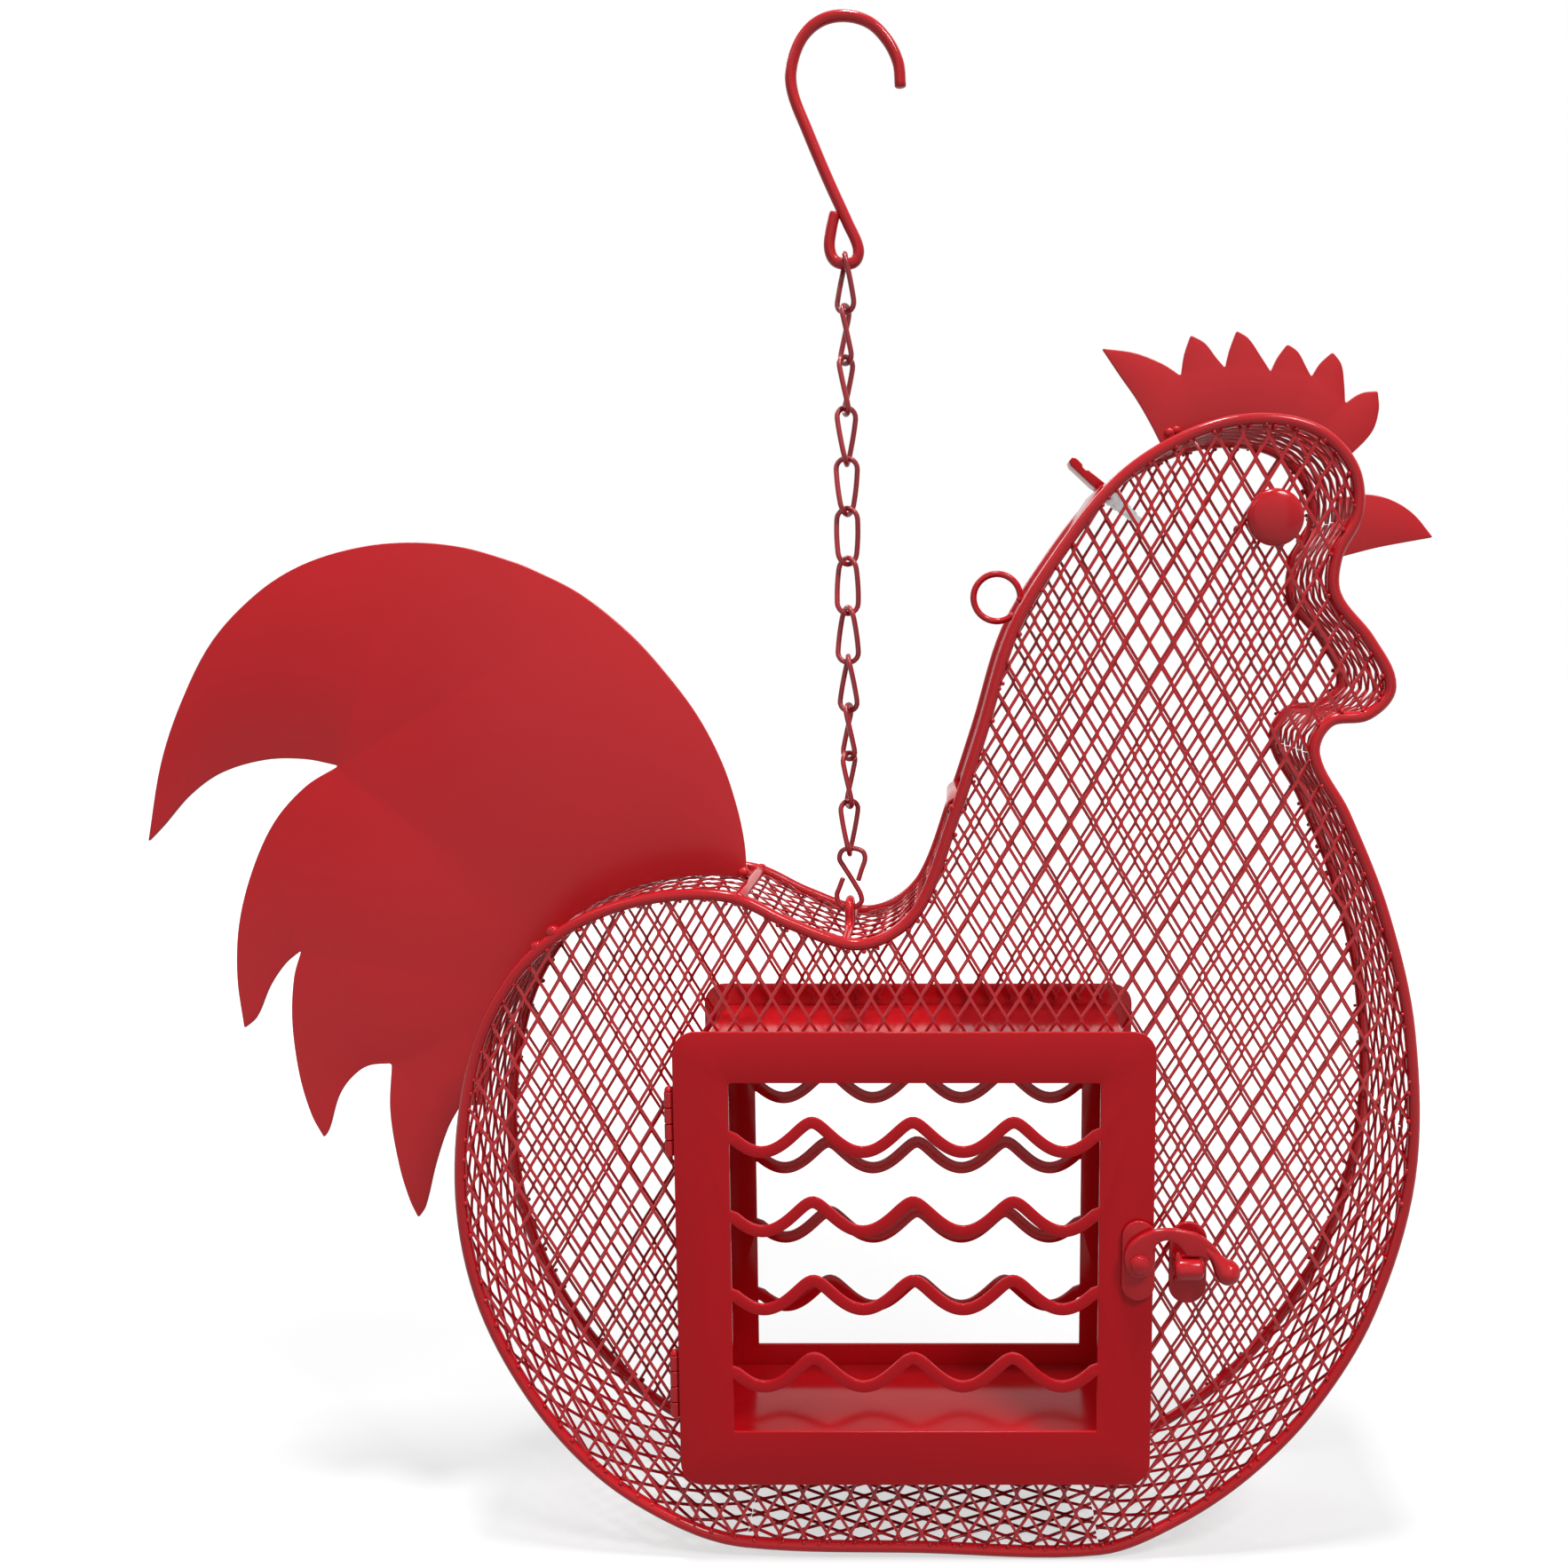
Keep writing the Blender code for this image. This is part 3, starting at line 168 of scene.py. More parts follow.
# Latch
RIVET = (86.9, -101.2)
LATCH_PLATE = (9.9, 24.7, 1.0)  # width, height and thickness, centred on the rivet
ARM_THICKNESS = 1.5
ARM_BALL = (113.1, -104.1)
ARM_BALL_RADIUS = 3.8
RIVET_HEAD = 3.0
KEEPER = (102.3, -103.7)
KEEPER_PLATE = (11.3, 25.5, 1.2)  # the same three
LATCH_ROUNDING = 0.4
BARREL = (101.5, -102.9)  # of the keeper staple
BARREL_RADIUS = 3.3
BARREL_LENGTH = 8.8
LATCH_PLATE_Y = DOOR_FRONT - CLEARANCE - LATCH_PLATE[2] / 2
ARM_Y = LATCH_PLATE_Y - LATCH_PLATE[2] / 2 - CLEARANCE - ARM_THICKNESS / 2

# Hanging gear
HOOK_WIRE = 1.7
THIN_WIRE = 0.8
HOOP_WIRE = 1.4
LINK_WIDTH = 8.0
LINKS = 12
LINK_TWIST = math.radians(68)
FIRST_LINK_ANGLE = math.radians(268)
LINK_CONTACT = 0.35  # how much longer than their pitch the links are, so that they touch
HOOK_EYE_BOTTOM = -66.1  # the chain runs from here
SMALL_HOOK_TOP = -243.4  # to here

# Lid, ring and catch
LID_SHEET = 1.0
LID_WIDTH = 44.8  # from front to back
LID_LIP = 2.0  # how far its upper end stands out past the outline
LID_LIP_LENGTH = 12.0
LID_CURL = 250  # degrees round its cross rod
RING_CENTRE = (45.2, 94.6)
RING_RADIUS = 7.1
RING_WIRE = 1.0
RING_WELD = 1.35
RING_FACING = -28.5  # degrees, to the middle of its opening
RING_GAP = 24  # degrees to each side of that
CATCH_DIRECTION = 139.5  # degrees from +X towards +Z
CATCH_WIDTH = 9.0
CATCH_HALF = 1.35  # half of the tab's thickness
CATCH_LENGTH = 12.4
SPRING_LENGTH = 13.0
SPRING_RIDGES = 4

# Eye
EYE = (123.0, 116.6)
EYE_RADIUS = 8.1
EYE_RISE = 2.4  # of its dome
EYE_RIM = 0.8  # height of its edge


# Lines

def at(place):
    """A place written about the hanger, as (x, z)."""
    return Vector((place[0], place[1] + HANGER_Z))


def deep(point, y):
    """An (x, z) place as a point at this depth."""
    return Vector((point[0], y, point[1]))


def smooth(points, closed, steps=8):
    """Points along a soft curve through the given ones, with handles a third of each chord."""
    count = len(points)
    last = count - 1

    def heading(i):
        before = points[(i - 1) % count] if closed else points[max(i - 1, 0)]
        after = points[(i + 1) % count] if closed else points[min(i + 1, last)]
        return (after - before).normalized()

    found = []
    for i in range(count if closed else last):
        start, end = points[i], points[(i + 1) % count]
        reach = (end - start).length / 3
        first = start + heading(i) * reach
        second = end - heading((i + 1) % count) * reach
        found += list(interpolate_bezier(start, first, second, end, steps + 1))[:-1]
    return found if closed else found + [points[-1].copy()]


def offset(line, distance, closed=True):
    """The line moved to the left of its direction, with its corners kept."""
    sharpest = 0.4  # keeps a sharp corner from running out to a long point
    heads = [(b - a).normalized() for a, b in zip(line, line[1:] + line[:1])]
    if not closed:
        heads[-1] = heads[-2]
    shifted = []
    for i, point in enumerate(line):
        arriving = heads[i - 1] if closed or i else heads[0]
        leaving = heads[i]
        side = Vector((-arriving.y - leaving.y, arriving.x + leaving.x))
        shifted.append(point + side * distance / max(sharpest, 1 + arriving.dot(leaving)))
    return shifted


def area(line):
    """Positive for an anticlockwise line."""
    return sum(a.cross(b) for a, b in zip(line, line[1:] + line[:1])) / 2


def arc(centre, radius, start, end, steps):
    """Points on an arc, with its angles in degrees."""
    return [
        centre + Vector((math.cos(a), math.sin(a))) * radius
        for a in (math.radians(start + (end - start) * i / steps) for i in range(steps + 1))
    ]


def rounded_rectangle(centre, width, height, corner, steps=8):
    """Anticlockwise outline with quarter-round corners."""
    line = []
    for turn, (sx, sz) in enumerate(((1, 1), (-1, 1), (-1, -1), (1, -1))):
        pivot = centre + Vector((sx * (width / 2 - corner), sz * (height / 2 - corner)))
        line += arc(pivot, corner, 90 * turn, 90 * (turn + 1), steps)
    return line


def obround(centre, width, height):
    """Upright outline with half-round ends."""
    return rounded_rectangle(centre, width, height, width / 2 - 0.01, 12)


def spaced(line, step):
    """The same closed line with points no further apart than this step."""
    found = []
    for a, b in zip(line, line[1:] + line[:1]):
        parts = max(1, math.ceil((b - a).length / step))
        found += [a.lerp(b, i / parts) for i in range(parts)]
    return found


def filleted(line, corners, radius):
    """The closed line with these of its corners, given by number, rounded by a soft curve that
    takes the place of the points near them."""
    pull = 0.4  # how far the curve's handles stay from the corner
    cleared = radius * 1.15
    found = []
    for i, point in enumerate(line):
        if i in corners:
            before = (line[i - 1] - point).normalized() * radius
            after = (line[(i + 1) % len(line)] - point).normalized() * radius
            found += interpolate_bezier(
                point + before, point + before * pull, point + after * pull, point + after, 6
            )
        elif all((line[c] - point).length > cleared for c in corners):
            found.append(point)
    return found


def nearest(line, point):
    """The number of the line's point that is closest to this one."""
    return min(range(len(line)), key=lambda i: (line[i] - point).length)


def heading_at(line, i):
    """The direction of a closed line at one of its points."""
    return (line[(i + 1) % len(line)] - line[i - 1]).normalized()


def right_of(heading):
    """The direction a quarter turn to the right, which is outwards on an anticlockwise line."""
    return Vector((heading.y, -heading.x))


def finder(places):
    """A tree that finds the closest of these places."""
    tree = KDTree(len(places))
    for i, place in enumerate(places):
        tree.insert(place, i)
    tree.balance()
    return tree


OUTLINE = smooth([at(p) for p in OUTLINE_KNOTS], closed=True)


def shortened(line, length):
    """The line without its first stretch of this length."""
    left = length
    for i in range(len(line) - 1):
        step = (line[i + 1] - line[i]).length
        if step > left:
            return [line[i].lerp(line[i + 1], left / step)] + line[i + 1 :]
        left -= step
    return line[-1:]


def stretch(start, end, start_gap, end_gap):
    """The outline from one place to another, anticlockwise, cut back at each end."""
    first, last = nearest(OUTLINE, at(start)), nearest(OUTLINE, at(end))
    count = (last - first) % len(OUTLINE)
    line = [OUTLINE[(first + i) % len(OUTLINE)] for i in range(count + 1)]
    line[0], line[-1] = at(start), at(end)
    return shortened(shortened(line, start_gap)[::-1], end_gap)[::-1]


def lengths(line):
    """How far along the line each point is."""
    found = [0.0]
    for a, b in zip(line, line[1:]):
        found.append(found[-1] + (b - a).length)
    return found


def along(line, far, distance):
    """The point at this distance along the line, and the direction there."""
    i = 0
    while i < len(far) - 2 and far[i + 1] < distance:
        i += 1
    share = (distance - far[i]) / (far[i + 1] - far[i])
    return line[i].lerp(line[i + 1], share), (line[i + 1] - line[i]).normalized()


# Shapes

def edges_of(bm, ring):
    """The edges that join these points in a closed ring."""
    return [bm.edges.get(pair) for pair in zip(ring, ring[1:] + ring[:1])]


def grown(bm, ring, places):
    """Draws a closed ring of edges out to new places, one for each of its points."""
    made = bmesh.ops.extrude_edge_only(bm, edges=edges_of(bm, ring))
    fresh = {item for item in made["geom"] if isinstance(item, bmesh.types.BMVert)}
    drawn = []
    for vert, place in zip(ring, places):
        twin = next(e.other_vert(vert) for e in vert.link_edges if e.other_vert(vert) in fresh)
        twin.co = place
        drawn.append(twin)
    return drawn


def loft(bm, sections):
    """A skin through closed rings of points. It gives the first and the last ring."""
    first = bmesh.ops.create_circle(bm, segments=len(sections[0]), radius=1)["verts"]
    for vert, place in zip(first, sections[0]):
        vert.co = place
    ring = first
    for places in sections[1:]:
        ring = grown(bm, ring, places)
    return first, ring


def smoothed(bm):
    """The same shape, shaded smooth."""
    for face in bm.faces:
        face.smooth = True
    return bm


def wire(path, radius, closed=False, sides=14, dome=0.5):
    """Round wire along the path. Open ends are domed by this share of the radius."""
    last = len(path) - 1
    radii = radius if isinstance(radius, list) else [radius] * len(path)
    headings = []
    for i in range(len(path)):
        before = path[i - 1] if closed or i else path[0]
        after = path[(i + 1) % len(path)] if closed or i < last else path[last]
        headings.append((after - before).normalized())
    side = headings[0].orthogonal().normalized()
    sections = []
    for i, (point, heading) in enumerate(zip(path, headings)):
        if i:
            side = headings[i - 1].rotation_difference(heading) @ side
        up = heading.cross(side)
        turns = (math.tau * k / sides for k in range(sides))
        unit = [side * math.cos(turn) + up * math.sin(turn) for turn in turns]
        sections.append([point + spoke * radii[i] for spoke in unit])
        if closed or 0 < i < last:
            continue
        out = heading if i else -heading
        cap = []
        for angle in (math.radians(a) for a in (30, 55, 75)):
            middle = point + out * radii[i] * dome * math.sin(angle)
            cap.append([middle + spoke * radii[i] * math.cos(angle) for spoke in unit])
        sections = sections + cap if i else cap[::-1] + sections
    bm = bmesh.new()
    first, ring = loft(bm, sections)
    if closed:
        bmesh.ops.bridge_loops(bm, edges=edges_of(bm, first) + edges_of(bm, ring))
    else:
        bmesh.ops.contextual_create(bm, geom=edges_of(bm, first))
        bmesh.ops.contextual_create(bm, geom=edges_of(bm, ring))
    return smoothed(bm)


def plate(loops, thickness, middle, rounding=0.3, steps=3):
    """Flat plate in the plane of the frames with its edges rounded over. Its outline comes first
    in loops, then its holes."""
    levels = []
    for step in range(steps + 1):
        angle = math.radians(90) * step / steps
        inset = rounding * (1 - math.sin(angle))
        levels.append((inset, thickness / 2 - rounding * (1 - math.cos(angle))))
    levels += [(inset, -height) for inset, height in reversed(levels)]
    bm = bmesh.new()
    rims = []
    for number, loop in enumerate(loops):
        line = loop if (area(loop) > 0) == (number == 0) else loop[::-1]
        rings = [[deep(p, middle + y) for p in offset(line, inset)] for inset, y in levels]
        rims.append(loft(bm, rings))
    smoothed(bm)
    for end in (0, 1):
        edges = [edge for rim in rims for edge in edges_of(bm, rim[end])]
        bmesh.ops.triangle_fill(bm, use_beauty=True, use_dissolve=False, edges=edges)
    return bm


def turned(profile, steps=32):
    """A shape spun about the Z axis from its (radius, height) profile."""
    bm = bmesh.new()
    corners = [bm.verts.new((radius, 0, height)) for radius, height in profile]
    edges = [bm.edges.new(pair) for pair in zip(corners, corners[1:])]
    bmesh.ops.spin(
        bm,
        geom=corners + edges,
        cent=(0, 0, 0),
        axis=(0, 0, 1),
        angle=math.tau,
        steps=steps,
        use_merge=True,
    )
    bmesh.ops.remove_doubles(bm, verts=bm.verts, dist=0.001)
    return smoothed(bm)


def ball(radius, stretch_by=(1, 1, 1), detail=3):
    """Ball, or an egg shape where it is stretched."""
    bm = bmesh.new()
    bmesh.ops.create_icosphere(bm, subdivisions=detail, radius=radius)
    bmesh.ops.scale(bm, vec=stretch_by, verts=bm.verts)
    return smoothed(bm)


def moved(bm, place, turn=None):
    """The same shape, turned about the origin and then moved to its place."""
    bmesh.ops.transform(bm, matrix=Matrix.Translation(place) @ (turn or Matrix()), verts=bm.verts)
    return bm


def soft_box(size, rounding=0.25, steps=3):
    """Block with its edges rounded over."""
    bm = bmesh.new()
    bmesh.ops.create_cube(bm, size=1)
    bmesh.ops.scale(bm, vec=size, verts=bm.verts)
    bmesh.ops.bevel(
        bm,
        geom=bm.edges[:],
        offset=rounding,
        segments=steps,
        profile=0.5,
        affect="EDGES",
        material=-1,
    )
    return smoothed(bm)


def together(shapes):
    """One bmesh of all these shapes."""
    first = shapes[0]
    for shape in shapes[1:]:
        carrier = bpy.data.meshes.new("carrier")
        shape.to_mesh(carrier)
        shape.free()
        first.from_mesh(carrier)
        bpy.data.meshes.remove(carrier)
    return first


def piece(node, shapes, finish):
    """These shapes as one object in metres that stands for this CAD solid and rides on its body."""
    bm = together(shapes)
    bmesh.ops.recalc_face_normals(bm, faces=bm.faces)
    bmesh.ops.scale(bm, vec=(MM, MM, MM), verts=bm.verts)
    name = "visual_" + node
    mesh = bpy.data.meshes.new(name)
    bm.to_mesh(mesh)
    bm.free()
    mesh.materials.append(finish)
    mesh.set_sharp_from_angle(angle=SHARP_ANGLE)
    made = bpy.data.objects.new(name, mesh)
    bpy.context.scene.collection.objects.link(made)
    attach(made, body_of[node])
    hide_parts(node)
    return made


# Expanded metal

def lattice(columns, rows):
    """Flat sheet of closed cells in the XY plane, its long way along Y, centred on the origin."""
    bm = bmesh.new()
    tip = (LONG_WAY - BOND) / 2
    side = SHORT_WAY / 2
    edge = BOND / 2
    corners = ((0, tip), (-side, edge), (-side, -edge), (0, -tip), (side, -edge), (side, edge))
    for x, y in ((0, 0), (side, LONG_WAY / 2)):
        ring = bmesh.ops.create_circle(bm, cap_ends=True, segments=6, radius=1)["verts"]
        for vert, corner in zip(ring, corners):
            vert.co = (x + corner[0], y + corner[1], 0)
    # These two cells are doubled until there are enough, first across and then along
    for axis, pitch, wanted in ((0, SHORT_WAY, columns), (1, LONG_WAY, rows)):
        count = 1
        while count < wanted:
            step = Vector((0, 0, 0))
            step[axis] = pitch * count
            made = bmesh.ops.duplicate(bm, geom=bm.verts[:] + bm.edges[:] + bm.faces[:])
            fresh = [item for item in made["geom"] if isinstance(item, bmesh.types.BMVert)]
            bmesh.ops.translate(bm, vec=step, verts=fresh)
            count *= 2
        middle = Vector((0, 0, 0))
        middle[axis] = -pitch * (count // 2)
        bmesh.ops.translate(bm, vec=middle, verts=bm.verts)
    bmesh.ops.remove_doubles(bm, verts=bm.verts, dist=0.01)
    return bm


def opened(bm, lean):
    """Turns each closed cell into an opening between leaning strands. Only a cell's two tips are
    near its middle line, and they stay where they are."""
    middle_line = 0.5
    cells = list(bm.faces)
    bmesh.ops.inset_individual(bm, faces=cells, thickness=STRAND / 2, use_even_offset=True)
    for cell in cells:
        middle = cell.calc_center_median()
        for vert in cell.verts:
            across = vert.co.x - middle.x
            if abs(across) > middle_line:
                vert.co.x = middle.x + across * BOND_SHARE
                vert.co.z = math.copysign(lean / 2, across)
    bmesh.ops.delete(bm, geom=cells, context="FACES_ONLY")


def trim(bm, line):
    """Cuts the upright sheet along a closed line that has what is kept on its left."""
    tree = finder([deep(point, 0) for point in line])
    outward = [deep(right_of(heading_at(line, i)), 0) for i in range(len(line))]

    def near(face):
        middle = face.calc_center_median()
        place, i, away = tree.find((middle.x, 0, middle.z))
        return place, i, away, (middle - place).dot(outward[i])

    groups = {}
    for face in bm.faces:
        place, i, away, _ = near(face)
        if away < LONG_WAY:
            groups.setdefault(i, (place, []))[1].append(face)
    for i, (place, faces) in groups.items():
        faces = [face for face in faces if face.is_valid]
        edges = {edge for face in faces for edge in face.edges}
        verts = {vert for face in faces for vert in face.verts}
        bmesh.ops.bisect_plane(
            bm,
            geom=list(verts) + list(edges) + faces,
            dist=SNAP,
            plane_co=place,
            plane_no=outward[i],
        )
    outside = [face for face in bm.faces if near(face)[3] > 0]
    bmesh.ops.delete(bm, geom=outside, context="FACES")


def thickened(made):
    """Gives a flat sheet its thickness, and rounds its strands' edges as the coating does."""
    sheet = made.modifiers.new("Sheet", "SOLIDIFY")
    sheet.thickness = STRAND_THICKNESS * MM
    sheet.offset = 0
    coat = made.modifiers.new("Coat", "BEVEL")
    coat.width = STRAND_ROUNDING * MM
    coat.segments = 1
    # Only the four long edges of each strand are this sharp
    coat.limit_method = "ANGLE"
    coat.angle_limit = math.radians(60)


def wave(x):
    """How far a wavy bar rises above its middle: narrow crests between wide scalloped troughs."""
    tallest = math.hypot(1, BAR_CREST)
    share = (tallest - math.hypot(math.sin(math.pi * x / BAR_WAVE), BAR_CREST)) / (tallest - BAR_CREST)
    return BAR_RISE * (share - 0.5)


def box_outline(out):
    """The suet box's outer edge, moved outwards."""
    width, height = BOX_WIDTH + 2 * out, BOX_HEIGHT + 2 * out
    return rounded_rectangle(at(BOX_CENTRE), width, height, BOX_CORNER + out)


def side_panel(node, y, lean, finish):
    """Expanded-metal side, trimmed to the frame and round the suet box."""
    inside = offset(OUTLINE, TRIM_INSET)
    low = Vector((min(p.x for p in inside), min(p.y for p in inside)))
    high = Vector((max(p.x for p in inside), max(p.y for p in inside)))
    spare = 3
    columns = math.ceil((high.x - low.x) / SHORT_WAY) + spare
    rows = math.ceil((high.y - low.y) / LONG_WAY) + spare
    bm = lattice(columns, rows)
    start = at(MESH_BOND) + Vector((SHORT_WAY / 2, 0))
    middle = (low + high) / 2
    across = round((middle.x - start.x) / SHORT_WAY) * SHORT_WAY
    up = round((middle.y - start.y) / LONG_WAY) * LONG_WAY
    moved(bm, (start.x + across, start.y + up, 0))
    # Cells well outside the outline are dropped before the slower work on each strand
    outside = []
    tree = finder([point.to_3d() for point in inside])
    for face in bm.faces:
        place = face.calc_center_median()
        spot, i, away = tree.find(place)
        out = right_of(heading_at(inside, i))
        beyond = (place.x - spot.x) * out.x + (place.y - spot.y) * out.y
        if beyond > 0 and away > LONG_WAY:
            outside.append(face)
    bmesh.ops.delete(bm, geom=outside, context="FACES")
    opened(bm, lean)
    moved(bm, (0, y, 0), Matrix.Rotation(math.radians(90), 4, "X"))
    trim(bm, inside)
    ends = strand_ends(bm, inside)
    trim(bm, spaced(box_outline(MESH_GAP), 2.0)[::-1])
    thickened(piece(node, [smoothed(bm)], finish))
    return ends


def strand_ends(bm, line):
    """Where the strands of the upright sheet stop on the line, one place for each strand."""
    step = 0.5
    one_strand = 2.2
    tree = finder([deep(point, 0) for point in spaced(line, step)])
    found = []
    for vert in bm.verts:
        if tree.find((vert.co.x, 0, vert.co.z))[2] < step:
            if all((vert.co - place).length > one_strand for place in found):
                found.append(vert.co.copy())
    return found


def edge_band(node, line, finish):
    """Expanded-metal strip between the frames, along this stretch of the outline."""
    far = lengths(line)
    width = 2 * (HALF_DEPTH - TRIM_INSET)
    spare = 2
    columns = math.ceil(width / SHORT_WAY) + spare
    rows = math.ceil(far[-1] / LONG_WAY) + spare
    bm = lattice(columns, rows)
    opened(bm, BAND_LEAN)
    for direction, reach in (((1, 0, 0), width / 2), ((0, 1, 0), far[-1] / 2)):
        for side in (1, -1):
            normal = Vector(direction) * side
            bmesh.ops.bisect_plane(
                bm,
                geom=bm.verts[:] + bm.edges[:] + bm.faces[:],
                dist=SNAP,
                plane_co=normal * reach,
                plane_no=normal,
                clear_outer=True,
            )
    for vert in bm.verts:
        place, heading = along(line, far, vert.co.y + far[-1] / 2)
        vert.co = deep(place + right_of(heading) * vert.co.z, vert.co.x)
    thickened(piece(node, [smoothed(bm)], finish))


# Door and grille

def wavy_edge(middle, side, width):
    """One edge of a wavy bar, left to right, with a crest at its middle."""
    centre_x = at(BOX_CENTRE).x
    half = DOOR_WIDTH / 2 - DOOR_RAIL
    steps = 120
    line = []
    for i in range(steps + 1):
        x = centre_x + half * (2 * i / steps - 1)
        line.append(Vector((x, middle.y + wave(x - middle.x))))
    edge = offset(line, side * width / 2, closed=False)
    edge[0].x, edge[-1].x = line[0].x, line[-1].x
    # Where a bend is tighter than the bar is wide, its inner edge would cross itself
    least = width / 2 - 0.05
    kept = [p for p in edge[1:-1] if min((p - q).length for q in line) > least]
    return [edge[0]] + kept + [edge[-1]]


def grille(node, middle_y, window_up, bars_at, bar_width, fillet, finish):
    """Stamped plate with five openings between four wavy bars."""
    centre = at(BOX_CENTRE)
    edge = rounded_rectangle(centre, DOOR_WIDTH, DOOR_HEIGHT, DOOR_CORNER)
    half_x = DOOR_WIDTH / 2 - DOOR_RAIL
    half_z = DOOR_HEIGHT / 2 - DOOR_RAIL
    window = centre + Vector((0, window_up))
    # Each opening lies between a floor and a roof, from the lowest up
    floors = [[window + Vector((-half_x, -half_z)), window + Vector((half_x, -half_z))]]
    roofs = []
    for bar in range(BARS):
        middle = window + Vector(bars_at) + Vector((0, (bar - (BARS - 1) / 2) * BAR_PITCH))
        roofs.append(wavy_edge(middle, -1, bar_width))
        floors.append(wavy_edge(middle, 1, bar_width))
    roofs.append([window + Vector((-half_x, half_z)), window + Vector((half_x, half_z))])
    windows = []
    for floor, roof in zip(floors, roofs):
        line = floor + roof[::-1]
        windows.append(filleted(line, (len(floor), len(line) - 1), fillet))
    piece(node, [plate([edge] + windows, PLATE, middle_y)], finish)


def suet_box(finish):
    """Sheet-steel sleeve from the front panel to the back, with a flange behind the door."""
    rounding = 0.25
    inner = box_outline(-BOX_SHEET)
    length = BOX_BACK - FLANGE_FRONT
    sleeve = plate([box_outline(0), inner], length, (BOX_BACK + FLANGE_FRONT) / 2, rounding)
    flange_y = FLANGE_FRONT + FLANGE_THICKNESS / 2
    flange = plate([box_outline(FLANGE), inner], FLANGE_THICKNESS, flange_y, rounding)
    piece("suet_box", [sleeve, flange], finish)


# Hinges and latch

def rounded_profile(radius, bottom, top, round_by):
    """Half-section of a solid pin or barrel with rounded rims, from its lower pole to its upper."""
    line = [(0, bottom)]
    for low, start in ((True, 270), (False, 0)):
        centre_z = bottom + round_by if low else top - round_by
        for step in range(5):
            angle = math.radians(start + 90 * step / 4)
            x = radius - round_by + round_by * math.cos(angle)
            line.append((x, centre_z + round_by * math.sin(angle)))
    return line + [(0, top)]


def dome_profile(radius, base, rise, steps=7):
    """Half-section of a domed head, from its rim to its crown."""
    return [
        (radius * math.cos(a), base + rise * math.sin(a))
        for a in (math.radians(90) * i / steps for i in range(steps + 1))
    ]


def knuckle(bottom, height):
    """One rolled knuckle: a short tube round the hinge axis."""
    rim = 0.2
    top = bottom + height
    profile = [
        (KNUCKLE_BORE, bottom),
        (KNUCKLE_RADIUS - rim, bottom),
        (KNUCKLE_RADIUS, bottom + rim),
        (KNUCKLE_RADIUS, top - rim),
        (KNUCKLE_RADIUS - rim, top),
        (KNUCKLE_BORE, top),
        (KNUCKLE_BORE, bottom),
    ]
    return moved(turned(profile), (HINGE_AXIS[0], HINGE_AXIS[1], 0))


def hinge_leaf(node, centre_z, first, leaf_y, finish):
    """A leaf with every second knuckle, starting with this one from the bottom."""
    height = (HINGE_LENGTH - (KNUCKLES - 1) * KNUCKLE_GAP) / KNUCKLES
    bottom = centre_z - HINGE_LENGTH / 2
    width = LEAF_OUTER - LEAF_INNER
    leaf = soft_box((width, LEAF_THICKNESS, HINGE_LENGTH), LEAF_ROUNDING)
    shapes = [moved(leaf, (LEAF_INNER + width / 2, leaf_y, centre_z))]
    # A short tab joins each knuckle to the leaf, and starts in the knuckle's wall
    tab_start = HINGE_AXIS[0] + KNUCKLE_BORE + 0.2
    tab_width = LEAF_INNER + 0.4 - tab_start
    for i in range(first, KNUCKLES, 2):
        low = bottom + i * (height + KNUCKLE_GAP)
        shapes.append(knuckle(low, height))
        tab = soft_box((tab_width, LEAF_THICKNESS, height), 0.12)
        shapes.append(moved(tab, (tab_start + tab_width / 2, leaf_y, low + height / 2)))
    piece(node, shapes, finish)


def hinge_pin(node, centre_z, finish):
    """Straight pin with a domed head above the top knuckle."""
    top = HINGE_LENGTH / 2 + KNUCKLE_GAP
    head = 1.35
    bottom = -HINGE_LENGTH / 2 - 0.9
    profile = [(0, bottom), (PIN_RADIUS - 0.15, bottom), (PIN_RADIUS, bottom + 0.15)]
    profile += [(PIN_RADIUS, top), (head, top)] + dome_profile(head, top, head)[1:]
    pin = moved(turned(profile), (HINGE_AXIS[0], HINGE_AXIS[1], centre_z))
    piece(node, [pin], finish)


ARM_EDGE = (
    (82.3, -100.5), (82.6, -97.7), (83.8, -95.2), (86.2, -93.1), (88.9, -91.6),
    (91.5, -90.7), (96.9, -90.4), (102.3, -91.5), (105.0, -92.6), (107.6, -94.5),
    (109.7, -96.6), (111.2, -98.7), (113.2, -101.6), (113.6, -104.3), (111.0, -105.2),
    (109.2, -102.4), (107.6, -100.2), (105.8, -99.3), (102.9, -99.1), (100.6, -98.9),
    (100.1, -98.0), (98.9, -96.3), (97.6, -94.9), (95.9, -94.2), (94.2, -94.2),
    (92.2, -95.2), (91.2, -97.4), (91.4, -101.2), (90.2, -104.2), (86.9, -105.7),
    (83.8, -104.4),
)


